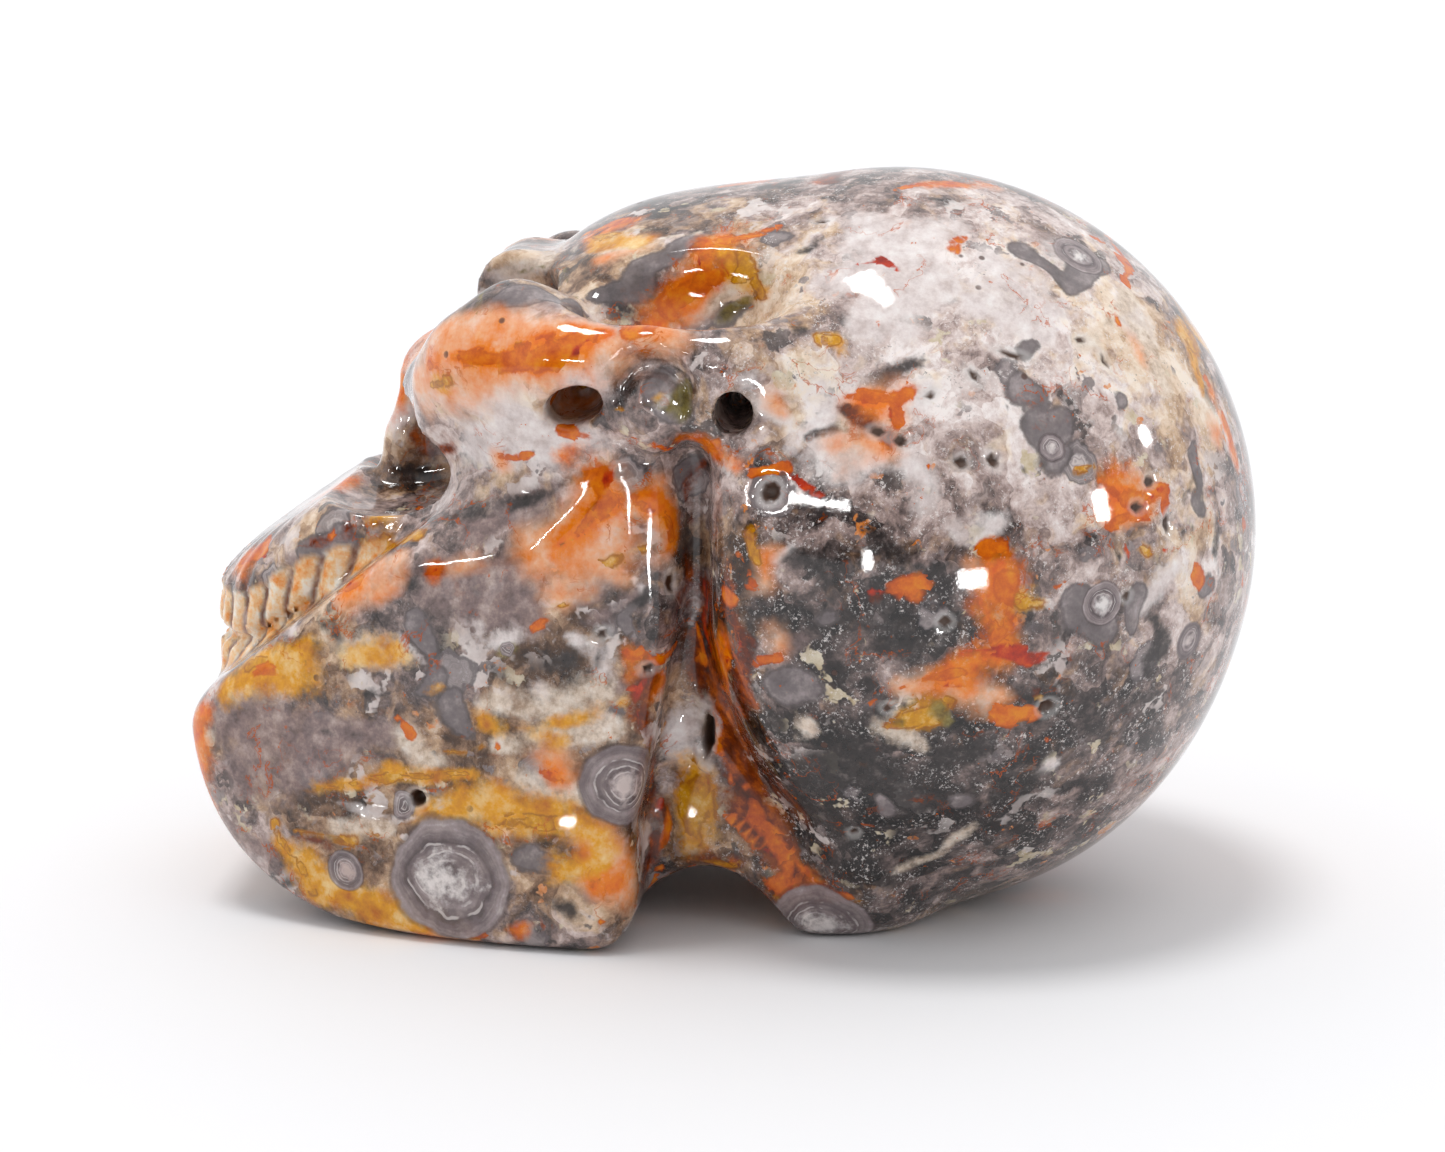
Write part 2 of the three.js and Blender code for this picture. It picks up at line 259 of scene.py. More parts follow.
# A first plain mesh carries the places that the pixels point at
(rough_grid, rough_axes) = sample_form(0.7)
rough_points, rough_squares = net_mesh(skull_form(*rough_grid), rough_axes)
rough = BVHTree.FromPolygons([Vector(v) for v in rough_points], rough_squares.tolist())


def surface_at(px, py):
    ray = ray_through(px, py)
    place, normal, _, _ = rough.ray_cast(EYE, ray)
    if place is None:
        place, normal, _, _ = rough.find_nearest(EYE + ray * (DISTANCE - 3.0))
    return place, normal


def form_normal(place):
    ends = np.array(place)[:, None, None] + np.stack([np.eye(3), -np.eye(3)], 2) * 0.05
    values = skull_form(*ends)
    return Vector(values[:, 0] - values[:, 1]).normalized()


def frame_at(px, py, angle):
    """Place and three directions: along the mark as it is seen, across it, and out of the surface."""
    place, normal = surface_at(px, py)
    turn = math.radians(angle)
    along = RIGHT * math.cos(turn) + UP * math.sin(turn)
    along = (along - normal * along.dot(normal)).normalized()
    return place, (along, normal.cross(along), normal)


# Pits as seen, dark inside: pixel, half length, half width and depth in mm, angle in degrees
PITS = [
    (770, 492, 0.5, 0.42, 0.7, 60), (961, 462, 0.3, 0.26, 0.5, 0), (993, 460, 0.34, 0.24, 0.5, -60),
    (1047, 708, 0.42, 0.36, 0.6, 0), (945, 622, 0.27, 0.25, 0.5, 0), (1012, 354, 0.5, 0.16, 0.4, -12),
    (975, 375, 0.32, 0.15, 0.4, -50), (878, 431, 0.3, 0.22, 0.5, 0), (900, 440, 0.32, 0.25, 0.5, -40),
    (1150, 481, 0.3, 0.25, 0.5, 20), (1138, 507, 0.35, 0.25, 0.5, 0), (1168, 524, 0.22, 0.4, 0.5, 0),
    (672, 583, 0.42, 0.28, 0.6, -60), (854, 833, 0.18, 0.18, 0.4, 0), (888, 708, 0.2, 0.18, 0.4, 0),
    (602, 634, 0.25, 0.2, 0.4, 20), (823, 220, 0.28, 0.15, 0.4, 0), (416, 799, 0.42, 0.36, 1.2, 25),
    (706, 736, 0.3, 1.15, 1.8, -4), (1105, 360, 0.3, 0.12, 0.4, -70), (1080, 340, 0.25, 0.14, 0.4, 20),
    (648, 668, 0.3, 0.2, 0.5, 0), (1127, 596, 0.2, 0.2, 0.3, 0), (930, 395, 0.25, 0.16, 0.4, 30),
]
# Shallow hollows that keep the colour of the stone around them
DENTS = [(382, 803, 1.6, 0.7, 0.5, 8), (684, 712, 0.9, 0.8, 0.4, 0), (690, 752, 0.5, 1.0, 0.45, -10), (736, 322, 1.3, 0.9, 0.4, 50)]


def hollow(px, py, length, width, depth, angle):
    place, turn = frame_at(px, py, angle)
    return place + turn[2] * 0.05, (length, width, depth), turn


PIT_SHAPES = [hollow(*pit) for pit in PITS]
HOLES = PIT_SHAPES + [hollow(*dent) for dent in DENTS]

CELL = 0.33
points, squares = carve(CELL)
mesh = bpy.data.meshes.new("stone")
mesh.from_pydata((points * MM).tolist(), [], squares.tolist())
mesh.polygons.foreach_set("use_smooth", [True] * len(mesh.polygons))
stone = bpy.data.objects.new("stone", mesh)
bpy.context.scene.collection.objects.link(stone)


# Marks
# Each kind of mark is one number on every point: how far it lies outside the nearest mark's edge, less than
# zero inside. A mark is a soft line through its points, each an (x, y, radius) in pixels of the photograph.
MARKS = {
    "orange": [
        [(1208, 380, 4), (1228, 430, 6), (1240, 480, 4)], [(1195, 560, 3), (1200, 590, 4)], [(1245, 520, 3), (1240, 590, 3)], [(1110, 238, 4), (1130, 285, 5)],
        [(860, 395, 8), (900, 402, 9), (905, 430, 6)], [(720, 585, 5), (738, 605, 6)], [(725, 700, 5), (738, 740, 6)], [(760, 820, 6), (800, 868, 7)],
        [(700, 860, 5), (690, 880, 4)], [(665, 800, 3), (660, 850, 4)], [(870, 700, 4), (905, 690, 3)],
        [(430, 362, 6), (480, 352, 10), (520, 360, 16), (570, 350, 15), (598, 338, 5)],
        [(525, 318, 3), (570, 325, 4)], [(412, 350, 5)], [(440, 372, 5)], [(560, 425, 3), (590, 438, 8)],
        [(618, 430, 7), (655, 440, 6), (682, 452, 4)], [(600, 478, 11), (608, 500, 13), (590, 530, 8)],
        [(640, 490, 5), (668, 535, 6)], [(500, 455, 4), (540, 452, 3)], [(590, 232, 7), (622, 222, 8)],
        [(640, 330, 14), (670, 306, 11), (705, 272, 9), (755, 232, 5), (785, 224, 2)],
        [(600, 350, 2), (640, 355, 4)], [(420, 505, 3), (455, 498, 2)], [(245, 560, 5), (262, 548, 8)],
        [(238, 590, 3), (232, 625, 3)], [(330, 530, 4)], [(652, 665, 4), (672, 650, 6), (700, 662, 4)],
        [(692, 605, 3), (698, 655, 4)], [(700, 690, 4), (716, 740, 5), (728, 790, 5), (752, 850, 4)],
        [(715, 610, 5), (728, 665, 9), (722, 690, 7)], [(742, 555, 4), (750, 585, 6)],
        [(760, 660, 6), (778, 655, 5)], [(745, 790, 6), (775, 850, 7), (790, 880, 6)],
        [(780, 885, 9), (835, 893, 7)], [(660, 868, 4), (640, 905, 6)], [(855, 395, 7), (885, 405, 6)],
        [(930, 460, 3)], [(1100, 488, 5), (1130, 495, 10), (1162, 492, 8)], [(1115, 520, 5), (1165, 515, 7)],
        [(985, 545, 9), (1010, 548, 8)], [(1005, 580, 8), (1004, 615, 8), (985, 645, 5)],
        [(912, 590, 12), (920, 602, 12)], [(1050, 590, 6), (1068, 585, 5)],
        [(925, 682, 4), (960, 676, 5), (990, 680, 4)], [(995, 705, 9), (1028, 722, 8)],
        [(900, 193, 3), (945, 183, 5), (985, 186, 4)], [(948, 245, 5), (968, 238, 3)],
        [(1085, 232, 3), (1110, 245, 4), (1128, 280, 4)], [(1205, 380, 4), (1225, 415, 6), (1235, 450, 4)],
        [(1190, 575, 3), (1196, 590, 4)], [(1240, 500, 2), (1243, 545, 3)], [(795, 330, 3), (820, 318, 2)],
        [(1115, 310, 2), (1122, 330, 3)], [(1082, 585, 3)], [(700, 448, 5), (720, 440, 3)],
        [(758, 480, 5), (790, 470, 6)], [(885, 325, 3)], [(1050, 740, 4), (1062, 752, 3)],
        [(527, 622, 2), (552, 616, 3)], [(540, 768, 5), (560, 778, 4)],
        [(627, 655, 3), (648, 652, 5), (690, 662, 4)], [(259, 676, 4), (300, 664, 4)], [(354, 583, 7)],
        [(440, 570, 6)], [(595, 860, 4), (605, 880, 3)], [(395, 718, 3), (405, 735, 4)],
        [(470, 935, 4), (520, 938, 4)], [(604, 925, 3)], [(500, 745, 4)], [(620, 905, 4)],
    ],
    "glow": [
        [(430, 360, 10), (480, 352, 16), (530, 358, 22), (580, 348, 18), (610, 338, 8)],
        [(600, 480, 14), (612, 500, 20), (585, 535, 16), (560, 560, 10)], [(655, 500, 12), (672, 540, 12)],
        [(440, 385, 10)], [(735, 240, 14), (690, 285, 18), (655, 325, 16)], [(600, 235, 14), (630, 222, 10)],
        [(245, 565, 14)], [(720, 640, 12), (722, 690, 14), (745, 780, 14), (780, 860, 14)], [(655, 690, 12)],
        [(800, 888, 18)], [(1120, 495, 22)], [(1000, 570, 16), (1000, 620, 14)],
        [(1000, 650, 18), (960, 680, 14)], [(575, 455, 10)], [(880, 410, 16)],
        [(700, 440, 10), (740, 470, 8)], [(990, 186, 8), (930, 186, 8)], [(700, 800, 18)],
        [(1215, 400, 10), (1238, 470, 8)], [(354, 583, 14)], [(440, 570, 10)], [(265, 672, 12)],
        [(555, 770, 10)], [(580, 860, 10), (620, 880, 14)], [(520, 935, 10)], [(640, 665, 12)],
        [(470, 935, 8)],
    ],
    "honey": [
        [(690, 775, 16), (700, 810, 24), (690, 840, 12)], [(395, 520, 10), (375, 532, 10)], [(440, 385, 12)],
        [(730, 262, 12), (760, 290, 12)], [(925, 715, 14)], [(1020, 600, 14)],
        [(1185, 330, 10), (1198, 390, 8)], [(640, 240, 12), (600, 240, 10)],
        [(1040, 700, 6)], [(835, 342, 8)], [(655, 400, 6)],
        [(225, 690, 12), (260, 672, 22), (305, 662, 20)], [(355, 655, 12), (392, 645, 12)],
        [(285, 850, 12), (310, 880, 24), (370, 912, 20), (470, 930, 10)],
        [(420, 812, 12), (480, 806, 16), (550, 815, 22), (600, 840, 14)],
        [(320, 785, 8), (400, 772, 8), (470, 778, 8)], [(490, 720, 8), (560, 745, 10)], [(430, 690, 8)],
        [(540, 720, 8), (600, 705, 8)], [(630, 700, 7)], [(560, 870, 14), (600, 860, 10)],
    ],
    # Red-brown iron colour of the stone, deepened as painted shade in the strokes down the groove between jaw and dome
    # and in the nose opening
    "rust": [
        [(692, 560, 10), (712, 640, 20), (724, 720, 22), (742, 790, 22), (775, 850, 18), (800, 885, 8)],
        [(725, 560, 8), (740, 640, 10), (750, 700, 8)],
        [(655, 660, 8), (645, 720, 8), (655, 780, 8), (652, 850, 8), (640, 900, 8)],
        [(425, 440, 12), (445, 450, 8)], [(700, 470, 6), (690, 520, 6)], [(700, 850, 12), (735, 862, 8)],
        [(590, 520, 8), (605, 490, 6)], [(850, 410, 4), (890, 440, 6)], [(880, 600, 6)], [(1040, 690, 6)],
        [(630, 215, 5), (600, 235, 4)], [(350, 530, 4), (300, 545, 3)], [(480, 350, 4), (440, 362, 4)],
        [(645, 680, 10), (640, 730, 8), (655, 780, 8), (650, 850, 8), (640, 900, 8)],
        [(300, 840, 4), (330, 850, 4)], [(480, 835, 4), (560, 845, 4)], [(600, 880, 5)], [(690, 640, 10), (700, 700, 8)],
        [(735, 680, 12), (748, 760, 12), (765, 810, 10)], [(560, 700, 4), (590, 710, 5)], [(470, 750, 4), (500, 760, 4)],
    ],
    # Thin dark lines: painted shade along the knob's outline by the ear, the eye socket's rim, the crease under the
    # cheek and the groove between jaw and dome, and dark lines in the stone
    "crease_shade_and_dark_line": [
       
        [(614, 385, 2), (625, 368, 3), (645, 357, 3), (668, 358, 3), (686, 370, 3), (697, 390, 2),
         (698, 410, 2), (689, 442, 1.5)], [(566, 272, 2), (576, 290, 2), (583, 312, 2)],
        [(972, 773, 2), (1000, 765, 3), (1024, 752, 2)], [(425, 520, 2), (470, 514, 3), (520, 500, 2)],
        [(730, 372, 1), (765, 340, 1)], [(1000, 400, 2), (1004, 430, 2), (1018, 455, 2), (1030, 478, 2)],
        [(1040, 382, 2), (1070, 400, 2), (1092, 420, 2), (1085, 445, 2)],
        [(690, 205, 4), (745, 192, 5), (795, 181, 3)], [(848, 885, 1.5), (905, 876, 1.5), (960, 850, 1.5)],
        [(706, 560, 3), (700, 600, 3)], [(705, 470, 4), (700, 520, 4), (702, 545, 3)],
        [(1190, 500, 2), (1196, 550, 2)], [(930, 210, 3), (980, 198, 4)],
        [(218, 786, 2), (255, 799, 3), (290, 808, 2), (310, 830, 2)],
        [(345, 797, 2), (375, 792, 2), (415, 788, 3)], [(400, 618, 2), (412, 648, 2), (420, 668, 2)],
        [(545, 665, 3), (562, 655, 4), (570, 668, 3)], [(490, 842, 1.5), (540, 830, 1.5)],
        [(600, 905, 3), (625, 920, 3)],
    ],
    "rim": [
        [(690, 703, 7), (675, 715, 8), (668, 735, 6)], [(684, 748, 7), (700, 765, 6)],
        [(712, 706, 4), (717, 730, 3), (714, 752, 4)], [(776, 478, 2)], [(660, 380, 3), (668, 366, 3)],
        [(676, 380, 5), (655, 408, 4)], [(1050, 455, 6)],
        [(340, 806, 3), (375, 822, 3), (410, 824, 3), (438, 802, 3)], [(478, 632, 4), (495, 640, 4)],
    ],
    "red": [
        [(862, 266, 4), (885, 258, 6), (900, 268, 3)], [(605, 482, 3), (612, 470, 4)],
        [(650, 668, 4), (640, 700, 6), (636, 725, 4)],
        [(965, 655, 4), (1000, 652, 7), (1035, 656, 6), (1055, 652, 3)], [(930, 690, 2), (975, 686, 4)],
        [(878, 592, 4), (890, 600, 3)], [(1131, 548, 3), (1131, 562, 4)], [(885, 402, 3), (895, 422, 4)],
        [(800, 480, 4), (822, 492, 3)], [(640, 262, 2)], [(1145, 500, 4), (1158, 486, 3)],
        [(1150, 545, 2), (1162, 548, 3)], [(700, 565, 3), (704, 620, 4), (712, 655, 3)], [(795, 884, 5)],
        [(812, 890, 3)], [(1212, 385, 2), (1232, 430, 3)], [(682, 445, 3)], [(652, 435, 3), (672, 446, 4)],
        [(735, 640, 4), (728, 665, 4)], [(232, 560, 2), (240, 548, 3)], [(760, 850, 3), (770, 862, 3)],
        [(655, 800, 2), (648, 830, 2)], [(575, 360, 3), (590, 350, 3)], [(692, 270, 3), (720, 252, 3)],
        [(645, 330, 4), (665, 315, 3)], [(1124, 262, 3)], [(635, 680, 4), (634, 715, 5)], [(548, 770, 4)],
        [(570, 620, 2)], [(350, 583, 3)], [(441, 571, 3)],
    ],
    "ochre": [
        [(435, 388, 5), (450, 378, 7)], [(690, 780, 14), (700, 810, 18), (690, 832, 8)],
        [(672, 700, 3), (660, 740, 4)], [(400, 515, 4), (385, 528, 6)],
        [(360, 540, 5), (395, 545, 6), (420, 535, 4)], [(730, 270, 4), (752, 262, 8), (758, 300, 6)],
        [(812, 345, 3), (838, 340, 4)], [(898, 728, 4), (925, 718, 9), (945, 705, 5)],
        [(1010, 715, 5), (1020, 720, 7)], [(1178, 300, 3), (1190, 345, 5), (1200, 390, 3)],
        [(1078, 475, 4), (1095, 470, 3)], [(1135, 538, 2), (1150, 560, 3)],
        [(1020, 600, 10), (1045, 605, 7)], [(590, 240, 4), (620, 236, 5)], [(750, 520, 3), (762, 560, 4)],
        [(620, 408, 4), (600, 415, 3)], [(455, 350, 3), (520, 338, 2)],
        [(560, 560, 2), (590, 540, 2), (612, 520, 2)], [(780, 895, 4), (850, 900, 3)], [(1058, 585, 4)],
        [(700, 855, 5), (735, 862, 4)], [(559, 605, 3), (590, 588, 3), (615, 567, 3), (640, 549, 3)],
        [(309, 790, 3), (350, 778, 4), (415, 775, 3), (470, 775, 3)],
        [(300, 835, 4), (330, 842, 4), (380, 838, 4)], [(459, 822, 5), (520, 818, 6), (575, 830, 6)],
        [(277, 817, 4), (290, 850, 6), (310, 890, 6)], [(436, 742, 2), (460, 748, 3), (484, 738, 2)],
        [(240, 668, 5), (300, 672, 5)],
    ],
    "cream": [
        [(875, 874, 2), (920, 862, 5), (978, 828, 6)], [(845, 688, 4), (880, 700, 4), (905, 706, 3)],
        [(700, 235, 4), (640, 245, 5), (600, 250, 4)], [(720, 300, 8), (745, 255, 6)], [(805, 728, 11)],
        [(900, 735, 13), (912, 742, 10)], [(1140, 330, 14), (1165, 390, 12)],
        [(1010, 440, 5), (1000, 452, 4)], [(880, 180, 3), (840, 186, 3)], [(540, 265, 9), (510, 272, 8)],
        [(570, 255, 5)], [(470, 268, 5)], [(840, 372, 3), (870, 350, 2)], [(1095, 350, 6), (1130, 300, 8)],
        [(880, 520, 4)], [(850, 425, 6)], [(400, 740, 10), (430, 765, 10)],
        [(490, 700, 8), (540, 705, 12), (600, 690, 14)], [(500, 745, 10), (560, 735, 12), (610, 725, 10)],
        [(520, 780, 8), (580, 790, 10)], [(355, 650, 12), (392, 645, 12)], [(275, 615, 12), (295, 612, 8)],
        [(330, 830, 6), (400, 832, 5)],
    ],
    "white": [
        [(860, 230, 22), (920, 280, 24), (870, 320, 16)], [(980, 300, 20), (1040, 330, 16)], [(760, 400, 10), (790, 440, 8)], [(1150, 600, 10), (1175, 560, 8)],
        [(1000, 520, 10), (960, 530, 8)], [(910, 460, 12), (930, 500, 8)], [(800, 540, 5), (780, 560, 4)], [(940, 640, 4)], [(1045, 765, 6)], [(805, 730, 8)],
        [(480, 440, 22), (520, 425, 24), (550, 445, 20)], [(470, 450, 14), (590, 440, 10)],
        [(400, 390, 10), (398, 425, 9)], [(500, 280, 9), (535, 268, 9)],
        # The strokes on the next line, along the cheekbone's lower and upper edges, are painted highlights
        [(420, 385, 12), (460, 400, 12), (520, 395, 10)], [(560, 320, 6), (620, 335, 6)],
        [(840, 285, 14), (900, 240, 18), (960, 225, 12)], [(850, 400, 12), (820, 420, 10)],
        [(830, 455, 16), (870, 460, 12)], [(1070, 255, 16)], [(1135, 325, 18)], [(1050, 765, 8)],
        [(1040, 310, 14), (990, 260, 12)], [(620, 560, 4), (640, 600, 3)], [(555, 385, 8), (600, 372, 8)],
        [(820, 385, 10), (860, 375, 6)], [(910, 330, 12)], [(745, 380, 10)],
        [(690, 720, 18), (688, 752, 14), (700, 700, 10)], [(715, 460, 5), (740, 470, 6)],
        [(1215, 300, 5), (1235, 400, 3)], [(920, 400, 10)], [(415, 470, 2), (398, 440, 3)], [(560, 460, 5)],
        [(1180, 640, 4)], [(700, 905, 3)], [(480, 640, 10), (505, 630, 8)], [(330, 668, 4), (296, 622, 4)],
        [(395, 610, 4), (413, 650, 4)], [(600, 660, 10), (570, 640, 6)], [(600, 720, 10)], [(470, 625, 6)],
        [(540, 690, 8)],
    ],
    # Coal-dark patches of the stone, and painted shade: the strokes in the nose opening, in the valley behind the
    # cheekbone, along the crease under it, round the knob by the ear and down the groove between jaw and dome
    "char_and_painted_shade": [
        [(800, 800, 20), (840, 830, 14)], [(870, 790, 20), (930, 800, 16)], [(1000, 800, 12), (1040, 780, 10)], [(880, 700, 10), (860, 680, 8)],
        [(1010, 690, 4), (1060, 700, 6)], [(780, 620, 8)], [(790, 600, 6), (840, 615, 8)], [(1130, 700, 8), (1100, 740, 8)],
        [(650, 600, 8), (620, 620, 6)], [(690, 600, 5), (680, 640, 5)], [(1100, 520, 6), (1120, 560, 6)],
        [(1160, 620, 6), (1150, 680, 8)], [(1060, 560, 5)], [(1210, 520, 5), (1215, 600, 6)],
        [(640, 216, 4), (690, 205, 9), (745, 192, 9), (800, 180, 5)],
        [(395, 470, 10), (420, 478, 14), (440, 478, 10)], [(600, 300, 6), (640, 316, 7), (690, 322, 5)],
        [(425, 440, 10)], [(430, 518, 5), (480, 512, 6), (540, 492, 4), (585, 478, 3)],
        [(612, 385, 3), (635, 362, 3), (668, 360, 3), (694, 385, 3), (694, 425, 3)],
        [(925, 205, 4), (975, 200, 6)], [(425, 515, 5), (470, 508, 5), (520, 495, 3)],
        [(800, 440, 4), (850, 425, 4)], [(780, 345, 4), (815, 335, 2)],
        [(810, 785, 20), (850, 760, 22), (900, 790, 18)], [(940, 760, 14), (985, 740, 14)],
        [(800, 560, 12), (830, 580, 10)], [(860, 630, 12), (915, 650, 12)], [(1000, 862, 12)],
        [(985, 772, 3), (1020, 752, 3)], [(930, 895, 8), (990, 885, 6), (1040, 865, 4)],
        [(1090, 660, 4), (1098, 685, 5)], [(800, 252, 6), (812, 240, 4)], [(782, 430, 5), (800, 420, 5)],
        [(640, 475, 5)], [(668, 560, 4), (680, 530, 4)], [(735, 420, 3)], [(705, 500, 5), (700, 540, 4)],
        [(1195, 470, 4), (1185, 530, 4)], [(760, 610, 6), (750, 640, 5)], [(885, 375, 10), (920, 362, 8)],
        [(1060, 690, 8)], [(900, 560, 12), (880, 540, 8)], [(980, 500, 5)], [(660, 350, 3), (690, 355, 3)],
        [(720, 205, 7)], [(830, 850, 10), (870, 878, 7)], [(770, 720, 9), (765, 690, 5)],
        [(318, 606, 5), (332, 630, 7), (345, 655, 4)], [(420, 625, 7), (440, 645, 7)],
        [(552, 668, 11), (562, 655, 8)], [(371, 690, 6), (392, 690, 5)], [(335, 735, 6), (365, 742, 6)],
        [(535, 900, 6), (575, 912, 10), (630, 930, 8)], [(600, 633, 5)], [(540, 925, 6)],
        [(352, 794, 4), (410, 797, 4)], [(455, 715, 9)], [(500, 668, 8), (520, 680, 6)], [(475, 640, 6)],
        [(590, 660, 5), (610, 650, 4)], [(700, 620, 8), (704, 700, 6)], [(716, 760, 6), (722, 800, 8)],
        [(755, 840, 8), (740, 800, 6)], [(330, 610, 8), (350, 640, 6)], [(640, 760, 5), (655, 740, 4)],
    ],
    "smoke": [
        # The first stroke on the next line and the one at (500, 300) lie in the eye socket: the stone's grey, darkened
        # as painted shade
        [(500, 302, 10), (535, 292, 12), (560, 305, 8)], [(640, 270, 14), (700, 240, 12)],
        [(650, 385, 14), (665, 375, 12)], [(1020, 390, 18), (1040, 400, 14)],
        [(1038, 430, 20), (1055, 450, 18)], [(1065, 422, 15)], [(795, 685, 22)],
        [(1085, 605, 20), (1100, 630, 20)], [(1138, 600, 16), (1135, 625, 10)],
        [(310, 548, 12), (340, 535, 12)], [(1190, 450, 10), (1200, 500, 8)],
        [(640, 288, 16), (600, 300, 10)], [(1030, 630, 10), (1045, 632, 8)], [(690, 845, 9)],
        [(960, 800, 14)], [(820, 610, 12)], [(660, 397, 20), (668, 410, 16)], [(735, 315, 15)],
        [(500, 300, 10), (535, 295, 14)], [(880, 805, 9)], [(1120, 400, 12)], [(1205, 590, 10)],
        [(1225, 500, 6)], [(1030, 350, 10)], [(560, 230, 6)],
        [(1030, 255, 16), (1060, 280, 14), (1100, 262, 14)], [(640, 530, 6)],
        [(690, 470, 12), (680, 490, 10)], [(870, 700, 10)], [(428, 672, 16), (424, 692, 12)],
        [(452, 708, 18), (470, 722, 10)], [(580, 590, 14), (610, 575, 12)], [(630, 620, 10), (640, 640, 8)],
        [(435, 792, 8), (455, 800, 8)], [(535, 862, 18), (552, 868, 10)], [(572, 814, 10)],
        [(415, 615, 10), (432, 640, 12)],
    ],
    "mauve": [
        [(430, 585, 16), (480, 600, 22), (530, 610, 18)], [(600, 620, 12), (640, 600, 10)], [(620, 680, 8)], [(480, 530, 8), (540, 510, 6)],
        [(1005, 610, 8)], [(330, 555, 8), (300, 560, 8)], [(520, 300, 16), (555, 305, 12)],
        [(470, 520, 10), (520, 500, 8), (560, 485, 6)], [(680, 300, 10)], [(800, 640, 12)],
        [(225, 720, 22), (280, 730, 34), (340, 735, 24), (385, 740, 12)], [(240, 770, 20), (300, 775, 16)],
        [(440, 575, 20), (500, 580, 24), (530, 600, 12)], [(470, 610, 20)], [(600, 900, 8)],
        [(230, 830, 16), (250, 860, 14)],
    ],
    "peach": [
        [(535, 555, 20), (575, 535, 26), (605, 500, 24)], [(560, 590, 12), (600, 560, 14)], [(650, 510, 14), (665, 545, 10)], [(900, 690, 8), (1000, 690, 8)],
        [(420, 385, 20), (480, 375, 20), (540, 370, 20)], [(540, 325, 12), (600, 335, 10)], [(420, 350, 14)],
        [(440, 345, 22), (500, 345, 30), (580, 345, 22), (620, 350, 12)], [(430, 385, 16)],
        [(600, 520, 26), (620, 550, 14), (570, 560, 12)], [(560, 560, 10), (545, 590, 6)],
        [(655, 500, 14), (660, 530, 12)], [(935, 690, 12), (985, 695, 10)], [(575, 403, 18)],
        [(640, 240, 10), (610, 260, 8)], [(700, 300, 14), (660, 335, 14)], [(780, 640, 10)],
        [(840, 450, 10), (880, 440, 12)], [(400, 560, 8), (370, 590, 10)], [(880, 405, 16), (900, 425, 10)],
        [(500, 460, 8)], [(1140, 350, 10)], [(970, 560, 8)], [(1140, 500, 18), (1110, 505, 10)],
        [(770, 400, 8)], [(1215, 430, 8)], [(1000, 190, 6)], [(770, 555, 7), (760, 590, 6)], [(690, 565, 5)],
        [(620, 575, 8), (570, 560, 12)], [(502, 811, 12)], [(600, 850, 20), (625, 885, 18)],
        [(375, 575, 12), (350, 600, 12)], [(470, 562, 10)], [(560, 765, 14)],
    ],
    # Olive-brown patches of the stone, and painted shade: the thin lines round the brow and along the eye socket's rim
    "olive_and_painted_shade": [
        [(690, 385, 6), (680, 405, 12), (655, 405, 6)], [(562, 270, 3), (580, 300, 3)],
        [(482, 300, 3), (492, 268, 3), (512, 257, 3)], [(735, 315, 10), (745, 300, 6)],
        [(500, 278, 3), (540, 272, 4)], [(930, 712, 8), (945, 722, 6)], [(482, 290, 3), (478, 312, 3)],
        [(905, 725, 5)], [(640, 402, 4)], [(507, 649, 10)], [(371, 800, 6), (405, 806, 6)],
    ],
}


# Parts of the ground: (x, y, radius) in pixels, then how light and how warm. How light is partly the stone's own tone
# and partly painted light and shade: lighter over the top of the dome, darker low on the dome and jaw, in the nose
# opening, behind the cheekbone and down the groove between jaw and dome.
GROUND = [
    (900, 260, 130, 0.95, 0.1), (1080, 300, 120, 0.9, 0.3), (1000, 380, 110, 0.6, 0.0), (800, 400, 60, 0.6, 0.5),
    (930, 480, 60, 0.35, 0.1), (850, 750, 110, -0.9, 0.0), (980, 800, 120, -0.75, 0.0), (830, 830, 70, -0.7, 0.0),
    (1120, 700, 70, -0.3, 0.1), (1080, 810, 60, -0.2, 0.0), (820, 600, 60, -0.5, 0.0), (940, 610, 80, -0.45, 0.1),
    (720, 215, 50, -0.1, 0.4), (560, 760, 90, -0.1, 1.0), (260, 740, 70, -0.15, 0.5), (500, 400, 90, 0.9, 0.5),
    (600, 600, 60, -0.45, 0.3), (1190, 560, 70, 0.7, 0.4), (1170, 470, 70, 0.55, 0.2), (880, 900, 60, -0.4, 0.0), (620, 900, 40, -0.4, 0.5),
    (740, 560, 40, -0.7, 0.5), (1080, 520, 70, 0.35, 0.1), (470, 580, 50, -0.3, 0.1), (1210, 400, 50, 0.5, 0.5),
    (760, 300, 60, 0.5, 0.9), (420, 470, 30, -0.9, 0.0), (320, 540, 60, 0.3, 0.6), (690, 560, 24, -0.6, 0.5),
    (700, 400, 30, -0.1, 0.2), (560, 660, 50, -0.5, 0.7), (560, 720, 60, -0.35, 0.8), (450, 760, 50, -0.35, 0.8), (620, 250, 50, 0.2, 0.8), (330, 660, 50, 0.1, 0.9),
    (380, 860, 80, -0.45, 1.2), (700, 830, 40, -0.5, 1.1), (1150, 350, 60, 0.6, 0.6), (560, 850, 60, -0.3, 1.1),
    (520, 265, 40, 0.7, 0.7), (400, 420, 30, 0.6, 0.5), (700, 700, 40, -0.4, 0.8), (1190, 660, 50, 0.2, 0.1),
    (640, 300, 24, -0.5, 0.1), (440, 820, 40, -0.3, 1.1), (740, 700, 30, -0.9, 0.8), (760, 820, 30, -0.9, 0.8), (720, 620, 30, -0.9, 0.8), (700, 540, 20, -0.8, 0.5),
]

